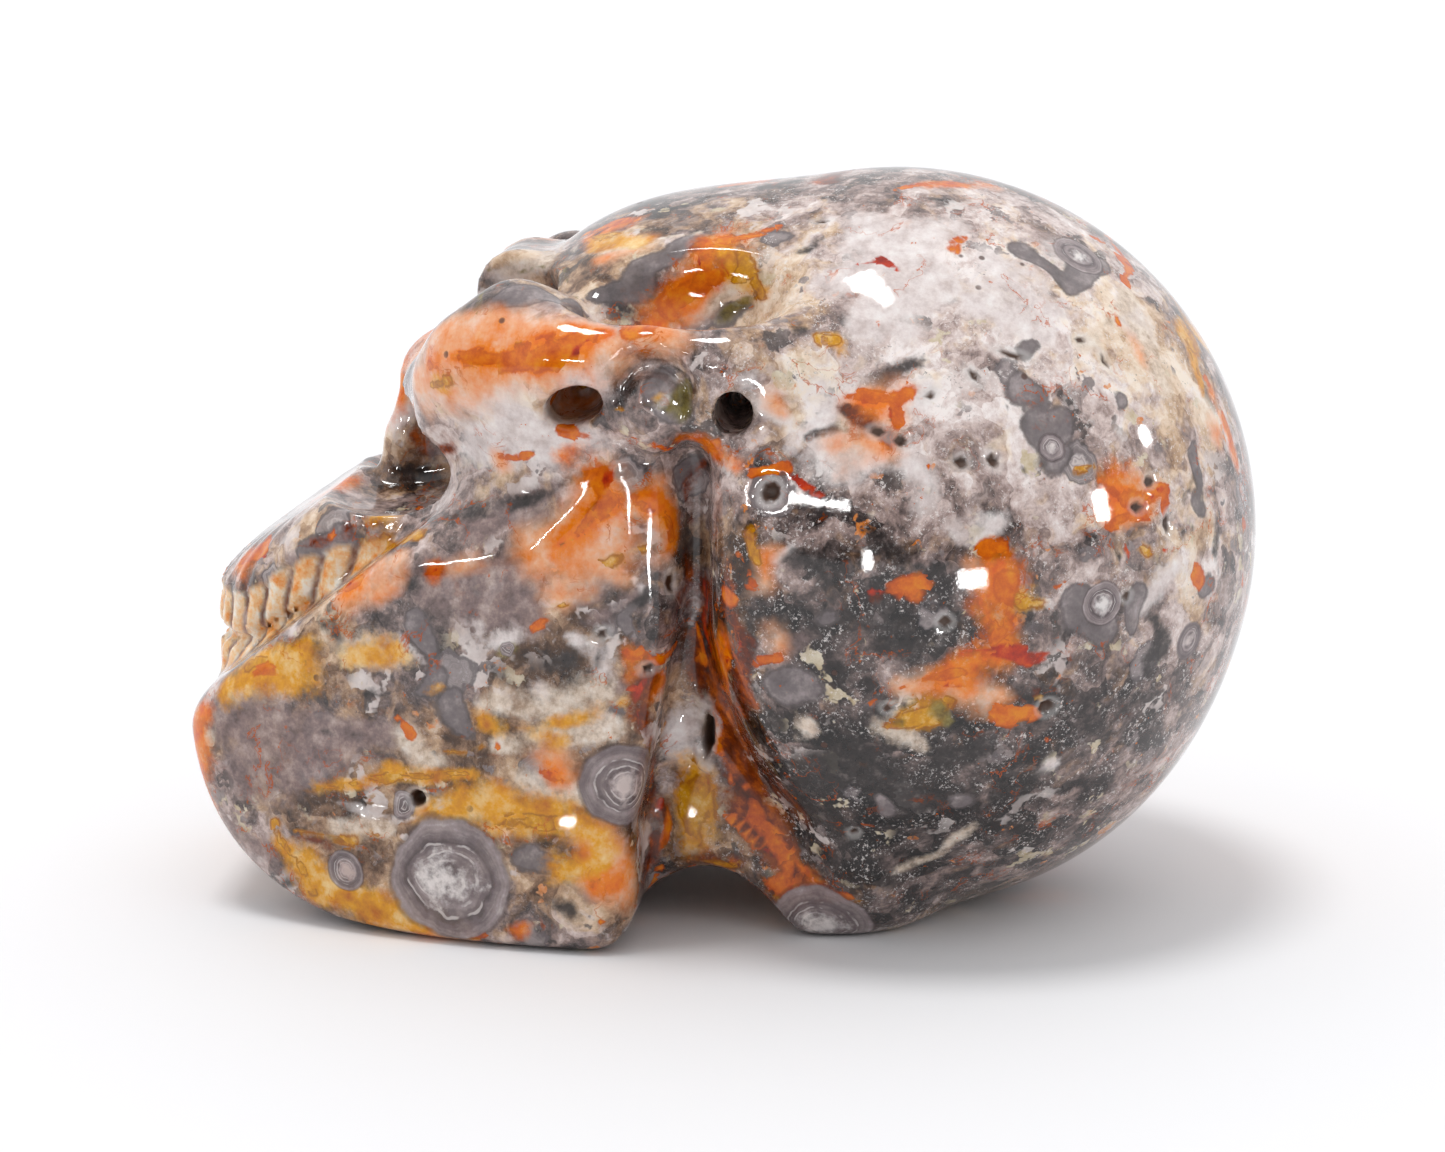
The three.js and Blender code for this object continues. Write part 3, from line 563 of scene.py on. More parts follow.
# Banded eyes: (x, y, radius) in pixels, then the tone of the middle, from 0 grey to 1 white
ORBS = [
    (447, 878, 62, 0.95), (624, 785, 42, 0.55), (346, 870, 20, 0.35), (820, 925, 50, 0.9), (1078, 255, 28, 1.0),
    (507, 649, 8, 0.1), (1102, 603, 22, 1.0), (400, 806, 15, 0.5), (1190, 640, 20, 0.6), (1052, 448, 14, 0.8),
]

rng = np.random.default_rng(11)
SMALL_MARK, LARGE_MARK = 0.35, 1.1
SPREAD = {"cream": 1.15, "white": 1.2, "peach": 1.3, "ochre": 1.2, "mauve": 1.1, "orange": 1.1}


def vertex_normals():
    normals = np.empty(len(mesh.vertices) * 3)
    mesh.vertex_normals.foreach_get("vector", normals)
    return normals.reshape(-1, 3)


normals = vertex_normals()
hidden = np.flatnonzero(normals @ np.array(BACK) < -0.02)


def placed(line):
    """The line's points on the surface that the photograph shows, in mm."""
    return [(np.array(surface_at(px, py)[0]), radius / PIXELS_PER_MM) for px, py, radius in line]


def moved(line):
    """The same line on a seeded place of the sides that the photograph doesn't show."""
    anchor = rng.choice(hidden)
    normal = normals[anchor]
    along = np.cross(normal, rng.normal(size=3))
    along /= np.linalg.norm(along)
    across = np.cross(normal, along)
    size = rng.uniform(0.85, 1.35)
    found = []
    for px, py, radius in line:
        step = np.array([px - line[0][0], py - line[0][1]]) * size / PIXELS_PER_MM
        place = points[anchor] + along * step[0] + across * step[1]
        found.append((np.array(rough.find_nearest(Vector(place))[0]), radius * size / PIXELS_PER_MM))
    return found


def wobble():
    """A smooth seeded push of up to about a third of a millimetre, so that no mark keeps a plain outline."""
    push = np.zeros_like(points)
    for _ in range(9):
        way = rng.normal(size=3)
        way *= 2 * np.pi / rng.uniform(1.6, 4.5) / np.linalg.norm(way)
        push += np.sin(points @ way + rng.uniform(0, 6.28))[:, None] * rng.normal(size=3) * 0.13
    return push


wobbled = points + wobble()


def outside_lines(lines):
    """Distance to the nearest line's edge, in units that keep small marks as whole as large ones."""
    nearest = np.full(len(points), 4.0)
    for line in lines:
        for (a, ra), (b, rb) in zip(line, line[1:] or line):
            middle, reach = (a + b) / 2, np.linalg.norm(b - a) / 2 + max(ra, rb) + 3.0
            near = np.flatnonzero(np.abs(wobbled - middle).max(1) < reach)
            run = b - a
            length = max(run @ run, 1e-9)
            t = np.clip((wobbled[near] - a) @ run / length, 0.0, 1.0)
            radius = ra + t * (rb - ra)
            away = np.linalg.norm(wobbled[near] - a - t[:, None] * run, axis=1) - radius
            nearest[near] = np.minimum(nearest[near], away / np.clip(radius * 1.4, SMALL_MARK, LARGE_MARK))
    return nearest


def set_number(name, values):
    attribute = mesh.attributes.new(name, "FLOAT", "POINT")
    attribute.data.foreach_set("value", values.astype(np.float32))


for kind, lines in MARKS.items():
    grown = [[(px, py, radius * SPREAD.get(kind, 1.0)) for px, py, radius in line] for line in lines]
    copies = [moved(line) for line in grown + grown[::3]]
    set_number(kind, outside_lines([placed(line) for line in grown] + copies))

ground, warmth = np.zeros(len(points)), np.zeros(len(points))
zones = [(np.array(surface_at(px, py)[0]), radius / PIXELS_PER_MM, *amounts) for px, py, radius, *amounts in GROUND]
zones += [(points[rng.choice(hidden)], rng.uniform(2.0, 5.5), rng.uniform(-0.9, 0.9), rng.uniform(-0.3, 1.0)) for _ in range(40)]
for place, radius, light, warm in zones:
    share = np.exp(-((points - place) ** 2).sum(1) / (2 * (radius * 0.7) ** 2))
    ground += light * share
    warmth += warm * share
set_number("depth", points[:, 1])
set_number("ground", np.clip(ground, -1.0, 1.0))
set_number("warmth", np.clip(warmth, 0.0, 1.0))

orb_ring, orb_core = np.full(len(points), 3.0), np.zeros(len(points))
eyes = [(np.array(surface_at(px, py)[0]), radius / PIXELS_PER_MM, tone) for px, py, radius, tone in ORBS]
eyes += [(points[rng.choice(hidden)], rng.uniform(0.5, 2.6), rng.uniform(0.1, 1.0)) for _ in range(18)]
for place, radius, tone in eyes:
    ring = np.linalg.norm(points - place, axis=1) / radius
    orb_core[ring < orb_ring] = tone
    orb_ring = np.minimum(orb_ring, ring)
set_number("orb_ring", orb_ring)
set_number("orb_core", orb_core)

pit = np.full(len(points), 4.0)
for place, half, turn in PIT_SHAPES:
    turn = np.array([list(t) for t in turn])
    offset = (turn @ (points - np.array(place)).T) / np.array(half)[:, None]
    pit = np.minimum(pit, (np.linalg.norm(offset, axis=0) - 1.0) * min(half))
set_number("pit", pit)

face = (np.abs(points[:, 0]), points[:, 1] + MIDDLE_OF_LENGTH, points[:, 2])
below, across = tooth_place(face)
on_teeth = np.exp(-(upper_jaw(face) / 0.35) ** 2) * np.clip(below / 0.3, 0.0, 1.0) * (face[1] < -12.0)
on_teeth *= np.clip((4.6 - below) / 0.3, 0.0, 1.0)
set_number("tooth", on_teeth * np.clip(across * 3.0 - 0.5, 0.0, 1.0))
# The gaps between the teeth: partly the stone's orange, partly painted shade
set_number("tooth_gap_shade", on_teeth * np.clip(1.0 - across * 2.4, 0.0, 1.0))


# Material

class Graph:
    """Short names for the node material's parts. Every length is in millimetres."""

    def __init__(self, name):
        self.material = bpy.data.materials.new(name)
        self.material.use_nodes = True
        self.tree = self.material.node_tree
        self.tree.nodes.clear()
        place = self.tree.nodes.new("ShaderNodeTexCoord").outputs["Object"]
        self.mm = self.vector("SCALE", place, scale=1 / MM)

    def put(self, socket, value):
        if isinstance(value, bpy.types.NodeSocket):
            self.tree.links.new(value, socket)
        else:
            socket.default_value = value

    def vector(self, operation, a, b=None, scale=None):
        node = self.tree.nodes.new("ShaderNodeVectorMath")
        node.operation = operation
        self.put(node.inputs[0], a)
        if b is not None:
            self.put(node.inputs[1], b)
        if scale is not None:
            self.put(node.inputs["Scale"], scale)
        return node.outputs[0]

    def math(self, operation, a, b=0.0, clamp=False):
        node = self.tree.nodes.new("ShaderNodeMath")
        node.operation = operation
        node.use_clamp = clamp
        self.put(node.inputs[0], a)
        self.put(node.inputs[1], b)
        return node.outputs[0]

    def combine(self, x, y, z=0.0):
        node = self.tree.nodes.new("ShaderNodeCombineXYZ")
        for socket, value in zip(node.inputs, (x, y, z)):
            self.put(socket, value)
        return node.outputs[0]

    def number(self, name):
        node = self.tree.nodes.new("ShaderNodeAttribute")
        node.attribute_name = name
        return node.outputs["Fac"]

    def noise(self, size, detail=3.0, roughness=0.55, distortion=0.0, at=None, shift=(0, 0, 0), colour=False):
        node = self.tree.nodes.new("ShaderNodeTexNoise")
        where = self.vector("ADD", at or self.mm, shift)
        self.put(node.inputs["Vector"], where)
        node.inputs["Scale"].default_value = 1 / size
        node.inputs["Detail"].default_value = detail
        node.inputs["Roughness"].default_value = roughness
        node.inputs["Distortion"].default_value = distortion
        return node.outputs["Color" if colour else "Fac"]

    def cells(self, size, at=None, output="Distance"):
        node = self.tree.nodes.new("ShaderNodeTexVoronoi")
        self.put(node.inputs["Vector"], at or self.mm)
        node.inputs["Scale"].default_value = 1 / size
        return node.outputs[output]

    def step(self, value, low, high, smooth=True):
        node = self.tree.nodes.new("ShaderNodeMapRange")
        node.interpolation_type = "SMOOTHSTEP" if smooth else "LINEAR"
        self.put(node.inputs["Value"], value)
        node.inputs["From Min"].default_value = low
        node.inputs["From Max"].default_value = high
        return node.outputs["Result"]

    def ramp(self, value, stops):
        node = self.tree.nodes.new("ShaderNodeValToRGB")
        self.put(node.inputs["Fac"], value)
        elements = node.color_ramp.elements
        while len(elements) < len(stops):
            elements.new(0.5)
        for element, (position, colour) in zip(elements, stops):
            element.position = position
            element.color = (*colour, 1.0)
        return node.outputs["Color"]

    def mix(self, share, a, b, blend="MIX"):
        node = self.tree.nodes.new("ShaderNodeMix")
        node.data_type = "RGBA"
        node.blend_type = blend
        self.put(node.inputs["Factor"], share)
        self.put(node.inputs["A"], a if isinstance(a, bpy.types.NodeSocket) else (*a, 1.0))
        self.put(node.inputs["B"], b if isinstance(b, bpy.types.NodeSocket) else (*b, 1.0))
        return node.outputs["Result"]


g = Graph("crazy lace agate")

# A slow warp bends every band and patch, and a fine one frays their edges
warp = g.vector("SCALE", g.vector("SUBTRACT", g.noise(2.6, 3, colour=True), (0.5, 0.5, 0.5)), scale=3.4)
bent = g.vector("ADD", g.mm, warp)
ripple = g.vector("SCALE", g.vector("SUBTRACT", g.noise(0.5, 2, colour=True), (0.5, 0.5, 0.5)), scale=0.45)
rippled = g.vector("ADD", g.mm, ripple)
chip = g.math("SUBTRACT", g.cells(0.9, at=rippled, output="Color"), 0.5)
fray_wide = g.math("SUBTRACT", g.noise(1.5, 4, 0.6, shift=(7, 3, 1)), 0.5)
fray_fine = g.math("SUBTRACT", g.noise(0.35, 3, 0.65, shift=(2, 9, 4)), 0.5)
fray = g.math("ADD", g.math("MULTIPLY", fray_wide, 1.6), g.math("MULTIPLY", fray_fine, 0.8))
fray_chipped = g.math("ADD", g.math("MULTIPLY", fray, 0.45), g.math("MULTIPLY", chip, 0.75))
fray_small = g.math("MULTIPLY", fray, 0.35)
fray_soft = g.math("MULTIPLY", fray_wide, 1.3)
zone = g.number("ground")
TONES = {"fine": g.noise(0.6, 4, 0.68, shift=(3, 1, 2)), "middle": g.noise(0.9, 4, 0.68, shift=(4, 7, 2)),
         "broad": g.noise(1.5, 4, 0.68, shift=(2, 5, 7))}

# Ground: clouded grey broken into pieces, each of its own tone, with darker shadows between
cloud = g.math("SUBTRACT", g.noise(2.2, 5, 0.66, at=bent), 0.5)
mottle = g.math("SUBTRACT", g.noise(0.7, 5, 0.72, shift=(4, 4, 4)), 0.5)
shard = g.math("SUBTRACT", g.cells(1.9, at=bent, output="Color"), 0.5)
chip_tone = g.math("MULTIPLY", chip, g.step(g.noise(2.4, 2, shift=(2, 6, 2)), 0.5, 0.62))
# The ground zones' lightness, partly painted light and shade, raises or lowers the tone
light = g.math("ADD", g.math("MULTIPLY", zone, 0.26), 0.45)
light = g.math("ADD", light, g.math("MULTIPLY", cloud, 1.15))
light = g.math("ADD", light, g.math("MULTIPLY", mottle, 0.6))
light = g.math("ADD", light, g.math("MULTIPLY", shard, 0.26))
light = g.math("ADD", light, g.math("MULTIPLY", chip_tone, 0.2))
colour = g.ramp(light, [
    (0.06, (0.008, 0.0065, 0.0065)), (0.24, (0.034, 0.027, 0.026)), (0.38, (0.122, 0.095, 0.09)),
    (0.52, (0.33, 0.255, 0.236)), (0.66, (0.62, 0.515, 0.485)), (0.85, (0.9, 0.835, 0.81)),
])
warm_colour = g.ramp(light, [
    (0.06, (0.025, 0.012, 0.007)), (0.24, (0.1, 0.055, 0.033)), (0.38, (0.29, 0.185, 0.125)),
    (0.52, (0.54, 0.38, 0.26)), (0.66, (0.76, 0.6, 0.45)), (0.85, (0.9, 0.79, 0.67)),
])
warmth = g.math("ADD", g.number("warmth"), g.math("MULTIPLY", g.noise(1.8, 3, 0.65, at=bent, shift=(8, 2, 8)), 2.0))
colour = g.mix(g.math("MULTIPLY", g.step(warmth, 1.15, 1.6), 0.85), colour, warm_colour)


def scatter(size, start, stops, seed, strength=0.9, chipping=0.1, tone="middle"):
    """Ragged patches of one colour, strewn through the whole stone."""
    global colour
    field = g.math("ADD", g.noise(size, 3, 0.6, at=rippled, shift=seed), g.math("MULTIPLY", chip, chipping))
    where = g.step(g.noise(size * 2.4, 1, shift=seed[::-1]), 0.46, 0.6)
    share = g.math("MULTIPLY", g.math("MULTIPLY", g.step(field, start, start + 0.035), where), strength)
    colour = g.mix(share, colour, g.ramp(g.step(TONES[tone], 0.32, 0.7, smooth=False), stops))


scatter(2.4, 0.6, [(0.0, (0.56, 0.48, 0.46)), (1.0, (0.88, 0.82, 0.79))], (3, 14, 8), 0.85, tone="broad")
scatter(2.0, 0.6, [(0.0, (0.014, 0.011, 0.011)), (1.0, (0.12, 0.1, 0.095))], (17, 5, 9), 0.85)
scatter(1.7, 0.62, [(0.0, (0.5, 0.4, 0.26)), (1.0, (0.8, 0.74, 0.62))], (6, 21, 3), 0.9)
scatter(1.5, 0.64, [(0.0, (0.14, 0.115, 0.115)), (1.0, (0.36, 0.31, 0.3))], (9, 4, 19), 0.9, 0.2)
scatter(1.2, 0.66, [(0.0, (0.62, 0.2, 0.07)), (1.0, (0.8, 0.5, 0.33))], (13, 8, 15), 0.9, tone="fine")

# Nodules: some broken cells are smooth grey chalcedony with a dark outline and faint bands
nodule_at = g.vector("ADD", rippled, g.vector("SCALE", g.vector("SUBTRACT", g.noise(1.1, 2, colour=True), (0.5, 0.5, 0.5)), scale=0.9))
nodule = g.cells(3.4, at=nodule_at)
nodule_pick = nodule.node.outputs["Color"]
inside = g.math("MULTIPLY", g.step(nodule, 0.3, 0.27), g.step(nodule_pick, 0.6, 0.64))
outline = g.math("MULTIPLY", g.step(g.math("ABSOLUTE", g.math("SUBTRACT", nodule, 0.285)), 0.03, 0.0), g.step(nodule_pick, 0.6, 0.64))
bands = g.noise(0.22, 2, 0.6, at=g.combine(g.math("MULTIPLY", nodule, 3.4), nodule_pick), shift=(7, 1, 1))
nodule_colour = g.ramp(g.math("ADD", bands, g.math("MULTIPLY", nodule_pick, 0.1)), [
    (0.3, (0.11, 0.092, 0.094)), (0.5, (0.22, 0.19, 0.19)), (0.64, (0.38, 0.335, 0.33)), (0.78, (0.68, 0.62, 0.6)),
])
colour = g.mix(g.math("MULTIPLY", inside, 0.92), colour, nodule_colour)
colour = g.mix(g.math("MULTIPLY", outline, 0.5), colour, (0.05, 0.045, 0.05))

# Frost: fine white crystals and fine dark specks, gathered in drifts
frost = g.step(g.noise(0.17, 3, 0.8, shift=(6, 1, 3)), 0.55, 0.63)
drift = g.step(g.noise(1.2, 3, 0.65, shift=(9, 9, 2)), 0.42, 0.6)
crystalline = g.step(g.math("ADD", g.number("depth"), g.math("MULTIPLY", fray_wide, 8.0)), -3.0, 3.0)
drift = g.math("MULTIPLY", drift, g.math("ADD", g.math("MULTIPLY", crystalline, 0.75), 0.25))
colour = g.mix(g.math("MULTIPLY", g.math("MULTIPLY", frost, drift), 0.75), colour, (0.84, 0.79, 0.77))
soot = g.step(g.noise(0.21, 3, 0.8, shift=(1, 7, 9)), 0.58, 0.66)
soot_drift = g.step(g.noise(1.5, 3, 0.65, shift=(5, 2, 7)), 0.5, 0.68)
soot_drift = g.math("MULTIPLY", soot_drift, g.math("ADD", g.math("MULTIPLY", crystalline, 0.7), 0.3))
colour = g.mix(g.math("MULTIPLY", g.math("MULTIPLY", soot, soot_drift), 0.65), colour, (0.055, 0.05, 0.052))


def lay(kind, stops, soft, fraying, strength=1.0, tone="middle", rim=None, rim_share=0.6):
    """Lays one kind of mark over the colour so far: clouded inside, frayed at its edge and rimmed."""
    global colour
    edge = g.math("ADD", g.number(kind), fraying)
    share = g.math("MULTIPLY", g.step(edge, soft, -soft), strength)
    colour = g.mix(share, colour, g.ramp(g.step(TONES[tone], 0.32, 0.72, smooth=False), stops))
    if rim:
        line = g.step(g.math("ABSOLUTE", g.math("ADD", edge, 0.05)), 0.16, 0.0)
        colour = g.mix(g.math("MULTIPLY", line, rim_share), colour, rim)


lay("mauve", [(0.0, (0.11, 0.08, 0.078)), (0.5, (0.27, 0.2, 0.19)), (1.0, (0.52, 0.42, 0.38))], 0.5, fray, 0.9, "middle")
# White of the stone, with painted highlights along the cheekbone's edges
lay("white", [(0.0, (0.56, 0.48, 0.46)), (0.5, (0.76, 0.69, 0.67)), (1.0, (0.9, 0.86, 0.84))], 0.5, fray, 0.95, "middle")
# Coal-dark stone, with painted shade in the nose opening, behind and under the cheekbone, round the knob and down the
# groove
lay("char_and_painted_shade", [(0.0, (0.008, 0.0065, 0.0065)), (0.6, (0.034, 0.028, 0.027)), (1.0, (0.13, 0.11, 0.105))], 0.45, fray, 0.94, "fine")
# Smoky grey stone, darkened as painted shade in the eye socket
lay("smoke", [(0.0, (0.1, 0.086, 0.088)), (0.5, (0.2, 0.172, 0.174)), (1.0, (0.42, 0.37, 0.365))], 0.16, fray_small, 0.95, "broad", (0.045, 0.035, 0.035), 0.5)
lay("peach", [(0.0, (0.82, 0.3, 0.14)), (0.5, (0.88, 0.49, 0.32)), (1.0, (0.9, 0.7, 0.58))], 0.7, fray_soft, 0.95, "broad")
lay("cream", [(0.0, (0.4, 0.3, 0.23)), (0.5, (0.74, 0.63, 0.53)), (1.0, (0.92, 0.85, 0.78))], 0.45, fray, 0.9, "fine")
lay("glow", [(0.0, (0.72, 0.11, 0.015)), (0.5, (0.85, 0.25, 0.07)), (1.0, (0.9, 0.5, 0.28))], 0.7, fray, 0.92, "middle")
lay("honey", [(0.0, (0.5, 0.16, 0.03)), (0.5, (0.78, 0.42, 0.13)), (1.0, (0.92, 0.72, 0.42))], 0.5, fray, 0.92, "broad")
# Red-brown stone, partly painted shade down the groove between jaw and dome and in the nose opening
lay("rust", [(0.0, (0.02, 0.006, 0.004)), (0.5, (0.16, 0.026, 0.007)), (1.0, (0.56, 0.12, 0.02))], 0.5, fray, 0.94, "middle")
lay("ochre", [(0.0, (0.36, 0.12, 0.02)), (0.5, (0.62, 0.32, 0.08)), (1.0, (0.84, 0.62, 0.32))], 0.35, fray_chipped, 0.96, "middle", (0.26, 0.07, 0.012), 0.6)
# Olive-brown stone, with painted shade round the brow and the eye socket's rim
lay("olive_and_painted_shade", [(0.0, (0.09, 0.07, 0.028)), (0.5, (0.22, 0.18, 0.07)), (1.0, (0.36, 0.31, 0.14))], 0.35, fray_small, 0.9, "fine")
lay("orange", [(0.0, (0.5, 0.07, 0.008)), (0.5, (0.7, 0.17, 0.025)), (1.0, (0.78, 0.36, 0.14))], 0.22, fray_chipped, 0.97, "middle", (0.45, 0.055, 0.01), 0.4)
lay("red", [(0.0, (0.25, 0.012, 0.005)), (0.5, (0.5, 0.035, 0.009)), (1.0, (0.68, 0.11, 0.025))], 0.25, fray_chipped, 0.97, "fine")

# Thin dark lines, mostly painted shade along creases of the carving, some dark lines in the stone
lay("crease_shade_and_dark_line", [(0.0, (0.012, 0.008, 0.008)), (1.0, (0.07, 0.055, 0.05))], 0.35, fray_small, 0.9, "fine")
lay("rim", [(0.0, (0.42, 0.36, 0.35)), (1.0, (0.86, 0.82, 0.8))], 0.5, fray_chipped, 0.9, "fine")

# Thin iron veins and rusty flecks wander through the whole stone
vein_noise = g.noise(3.6, 5, 0.6, at=bent, shift=(11, 2, 5))
vein = g.step(g.math("ABSOLUTE", g.math("SUBTRACT", vein_noise, 0.5)), 0.011, 0.0)
vein_zone = g.step(g.noise(2.6, 2, shift=(3, 8, 3)), 0.5, 0.64)
colour = g.mix(g.math("MULTIPLY", g.math("MULTIPLY", vein, vein_zone), 0.7), colour, (0.5, 0.1, 0.02))
rust = g.step(g.noise(0.45, 4, 0.7, shift=(12, 3, 9)), 0.66, 0.71)
rust_zone = g.step(g.noise(2.2, 2, shift=(2, 12, 6)), 0.46, 0.6)
colour = g.mix(g.math("MULTIPLY", g.math("MULTIPLY", rust, rust_zone), 0.85), colour, (0.58, 0.14, 0.03))

# Banded eyes: a grey body, fine broken pale rings and a clouded core
swell = g.math("SUBTRACT", g.noise(2.4, 3, 0.5, shift=(6, 6, 2)), 0.5)
ring = g.math("ADD", g.number("orb_ring"), g.math("MULTIPLY", swell, 0.5))
bands = g.noise(0.16, 2, 0.5, at=g.combine(ring, g.number("orb_core")), shift=(3, 3, 3))
body_tone = g.math("ADD", g.math("MULTIPLY", bands, 0.6), g.math("MULTIPLY", TONES["middle"], 0.4))
orb_grey = g.ramp(body_tone, [
    (0.36, (0.095, 0.075, 0.078)), (0.48, (0.19, 0.155, 0.158)), (0.6, (0.34, 0.29, 0.29)), (0.7, (0.6, 0.54, 0.53)),
])
fine_ring = g.step(g.math("SINE", g.math("MULTIPLY", ring, 42.0)), 0.55, 0.95)
ring_zone = g.math("MULTIPLY", g.step(ring, 0.8, 0.7), g.step(g.noise(1.3, 3, 0.6, shift=(2, 8, 5)), 0.46, 0.58))
orb_grey = g.mix(g.math("MULTIPLY", g.math("MULTIPLY", fine_ring, ring_zone), 0.6), orb_grey, (0.78, 0.73, 0.71))
core_tone = g.mix(g.number("orb_core"), (0.42, 0.27, 0.24), (0.9, 0.86, 0.84))
core_cloud = g.math("ADD", g.math("MULTIPLY", fray_fine, 0.6), g.math("MULTIPLY", fray_wide, 1.1))
core = g.step(g.math("ADD", ring, core_cloud), 0.5, 0.1)
orb_colour = g.mix(g.math("MULTIPLY", core, 0.9), orb_grey, core_tone)
colour = g.mix(g.math("MULTIPLY", g.step(ring, 1.0, 0.93), 0.96), colour, orb_colour)
orb_rim = g.step(g.math("ABSOLUTE", g.math("SUBTRACT", ring, 0.99)), 0.06, 0.0)
colour = g.mix(g.math("MULTIPLY", orb_rim, 0.45), colour, (0.06, 0.042, 0.042))

# The teeth are cream to peach; the gaps between them are dark rust-brown, partly the stone's orange and partly painted
# shade
tooth_tone = g.ramp(g.step(TONES["middle"], 0.35, 0.65, smooth=False), [
    (0.0, (0.84, 0.36, 0.15)), (0.5, (0.92, 0.64, 0.39)), (1.0, (0.95, 0.88, 0.77)),
])
colour = g.mix(g.math("MULTIPLY", g.number("tooth"), 0.95), colour, tooth_tone)
colour = g.mix(g.math("MULTIPLY", g.number("tooth_gap_shade"), 0.9), colour, (0.2, 0.055, 0.014))

# Pits get a pale ring and are dark brown inside, painted shade of the hollow, and pinholes, dark dots painted as the
# shade of holes too small to carve, gather where the stone is porous
pit_edge = g.number("pit")
colour = g.mix(g.math("MULTIPLY", g.step(pit_edge, 0.35, 0.1), 0.3), colour, (0.7, 0.68, 0.66))
colour = g.mix(g.step(pit_edge, 0.1, -0.05), colour, (0.05, 0.02, 0.009))
pin = g.cells(1.5, at=g.vector("ADD", g.mm, (0.4, 0.2, 0.7)))
porous = g.step(g.noise(3.0, 2, shift=(5, 5, 5)), 0.55, 0.64)
pinhole = g.math("MULTIPLY", g.step(pin, 0.13, 0.08), porous)
colour = g.mix(g.math("MULTIPLY", pinhole, 0.85), colour, (0.07, 0.03, 0.02))

richer = g.tree.nodes.new("ShaderNodeHueSaturation")
richer.inputs["Saturation"].default_value = 1.22
g.put(richer.inputs["Color"], colour)

shader = g.tree.nodes.new("ShaderNodeBsdfPrincipled")
g.put(shader.inputs["Base Color"], richer.outputs["Color"])
g.put(shader.inputs["Roughness"], g.ramp(g.math("ADD", g.math("MULTIPLY", pinhole, 0.8), g.step(pit_edge, 0.1, -0.05)), [
    (0.0, (0.045, 0.045, 0.045)), (1.0, (0.5, 0.5, 0.5)),
]))
shader.inputs["IOR"].default_value = 1.54
shader.inputs["Subsurface Weight"].default_value = 0.08
shader.inputs["Subsurface Radius"].default_value = (1.0, 0.6, 0.45)
shader.inputs["Subsurface Scale"].default_value = 0.6 * MM
bump = g.tree.nodes.new("ShaderNodeBump")
bump.inputs["Distance"].default_value = 0.12 * MM
bump.inputs["Strength"].default_value = 1.0
g.put(bump.inputs["Height"], g.math("MULTIPLY", fray_fine, 0.03))
g.put(shader.inputs["Normal"], bump.outputs["Normal"])
output = g.tree.nodes.new("ShaderNodeOutputMaterial")
g.put(output.inputs["Surface"], shader.outputs["BSDF"])
mesh.materials.append(g.material)

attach(stone, "root")
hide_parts("skull")


# Floor, light and camera

def plain_material(name, colour, roughness):
    material = bpy.data.materials.new(name)
    material.use_nodes = True
    shader = material.node_tree.nodes["Principled BSDF"]
    shader.inputs["Base Color"].default_value = (*colour, 1.0)
    shader.inputs["Roughness"].default_value = roughness
    shader.inputs["Specular IOR Level"].default_value = 0.2
    return material


floor_mesh = bpy.data.meshes.new("floor")
reach = 3.0
floor_mesh.from_pydata([(-reach, -reach, 0), (reach, -reach, 0), (reach, reach, 0), (-reach, reach, 0)], [], [(0, 1, 2, 3)])
floor = bpy.data.objects.new("floor", floor_mesh)
floor_mesh.materials.append(plain_material("white paper", (0.86, 0.86, 0.87), 0.7))
bpy.context.scene.collection.objects.link(floor)

world = bpy.data.worlds.new("studio")
world.use_nodes = True
sky = world.node_tree.nodes
direction = sky.new("ShaderNodeTexCoord").outputs["Generated"]
towards = sky.new("ShaderNodeVectorMath")
towards.operation = "DOT_PRODUCT"
towards.inputs[1].default_value = (1.0, -0.1, -0.9)
shade = sky.new("ShaderNodeValToRGB")
for element, (position, tone) in zip(shade.color_ramp.elements, [(0.15, 0.94), (0.8, 0.12)]):
    element.position = position
    element.color = (tone * 0.98, tone * 0.985, tone, 1.0)
world.node_tree.links.new(direction, towards.inputs[0])
world.node_tree.links.new(towards.outputs["Value"], shade.inputs["Fac"])
world.node_tree.links.new(shade.outputs["Color"], sky["Background"].inputs["Color"])
sky["Background"].inputs["Strength"].default_value = 1.0
bpy.context.scene.world = world


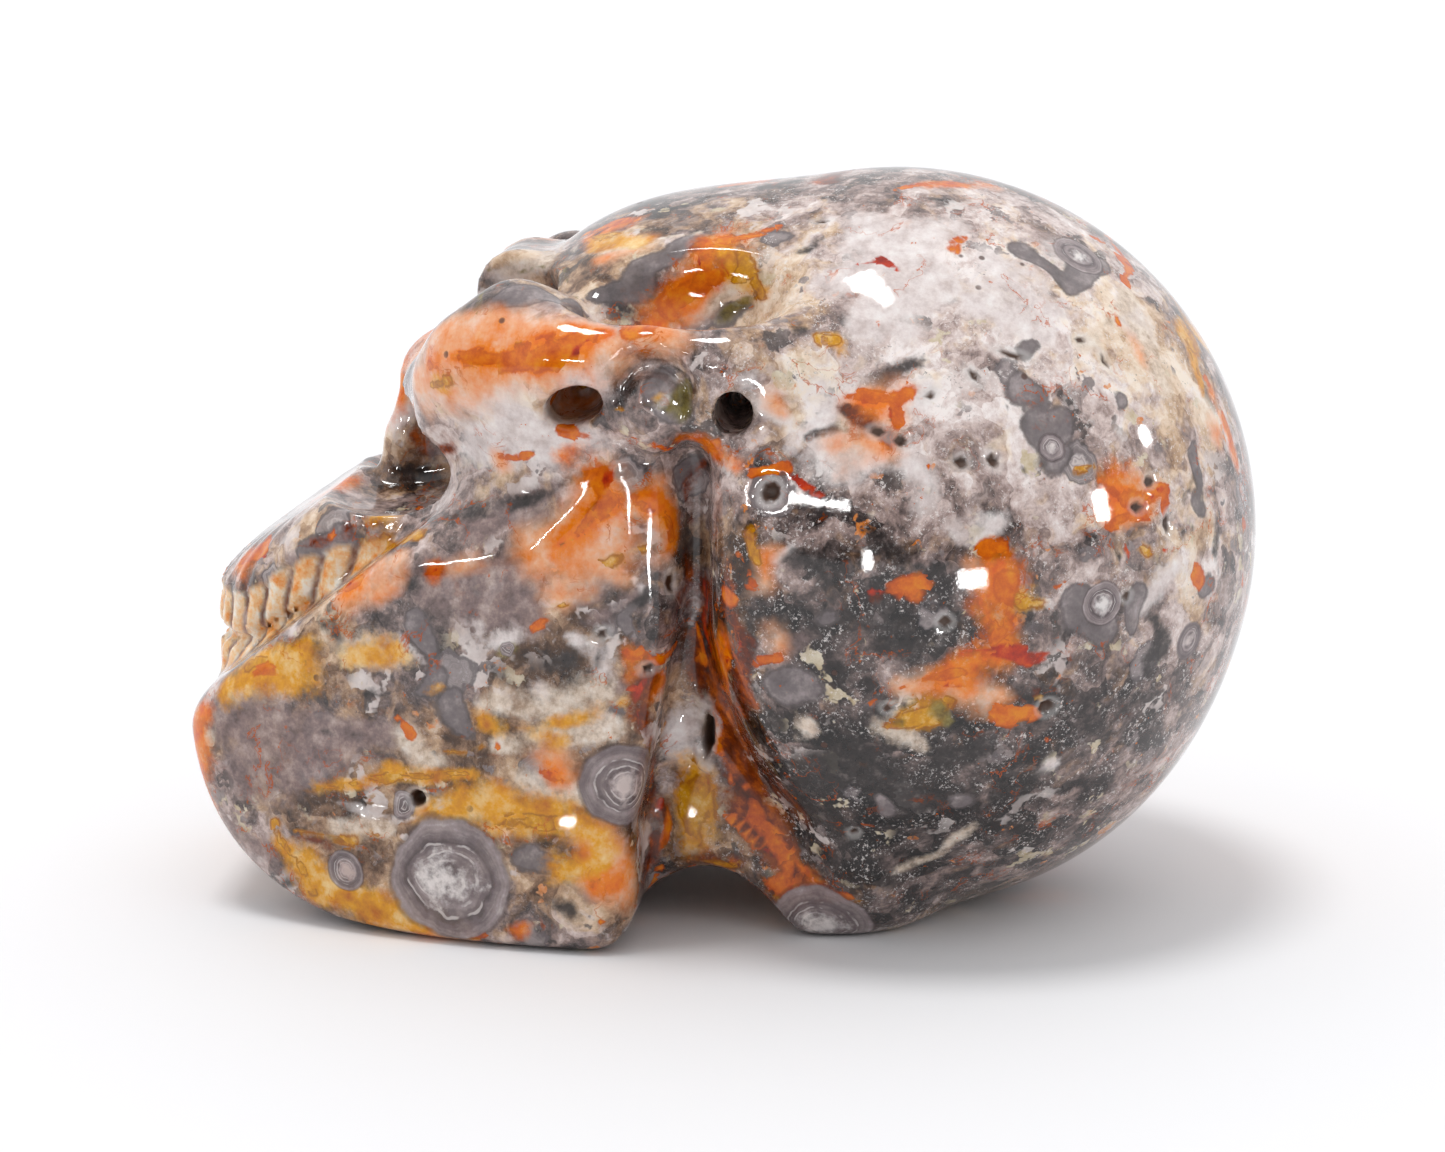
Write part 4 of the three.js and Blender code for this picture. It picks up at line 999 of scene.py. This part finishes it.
def area_light(name, place, aim, width, height, power):
    """place and aim are in millimetres."""
    light = bpy.data.lights.new(name, "AREA")
    light.shape = "RECTANGLE"
    light.size, light.size_y = width * MM, height * MM
    light.energy = power
    lamp = bpy.data.objects.new(name, light)
    lamp.location = Vector(place) * MM
    lamp.rotation_mode = "QUATERNION"
    lamp.rotation_quaternion = (Vector(aim) - Vector(place)).to_track_quat("-Z", "Y")
    bpy.context.scene.collection.objects.link(lamp)
    return lamp


sun = bpy.data.lights.new("sun", "SUN")
sun.energy = 1.08
sun.angle = math.radians(16)
overhead = bpy.data.objects.new("sun", sun)
overhead.rotation_mode = "QUATERNION"
overhead.rotation_quaternion = Vector((-40, 85, -600)).to_track_quat("-Z", "Y")
overhead.visible_glossy = False
bpy.context.scene.collection.objects.link(overhead)
softbox = area_light("softbox", (40, -85, 600), (0, 0, 10), 150, 130, 1.4)
softbox.visible_diffuse = False
softbox.visible_transmission = False

# Small lamps that only show as the highlights seen in the photograph: name, pixel, width and height in mm
GLINTS = [("ridge", 455, 562, 85, 14), ("jaw", 568, 822, 50, 22), ("dent", 660, 470, 40, 60),
          ("rhombus", 972, 583, 72, 62),
          ("crescent", 868, 568, 18, 90), ("bar", 838, 505, 56, 18), ("dot", 1145, 436, 34, 34)]
for name, px, py, width, height in GLINTS:
    place = surface_at(px, py)[0]
    normal = form_normal(place)
    ray = ray_through(px, py)
    bounce = ray - 2 * ray.dot(normal) * normal
    away = min(480.0, (place.z - 3.0) / max(-bounce.z, 0.001))
    width, height = width * away / 480, height * away / 480
    lamp = area_light(name, place + bounce * away, place, width, height, 0.9 * width * height / 7000)
    lamp.visible_camera = False
    lamp.visible_diffuse = False
    lamp.visible_transmission = False

camera = bpy.data.cameras.new("camera")
camera.sensor_width = 36.0
camera.lens = 36.0 * PIXELS_PER_MM * DISTANCE / PHOTO_WIDTH
camera.clip_start = 0.005
view = bpy.data.objects.new("camera", camera)
view.location = EYE * MM
view.rotation_mode = "QUATERNION"
view.rotation_quaternion = (-BACK).to_track_quat("-Z", "Y")
bpy.context.scene.collection.objects.link(view)
bpy.context.scene.camera = view
bpy.context.scene.view_settings.view_transform = "Standard"
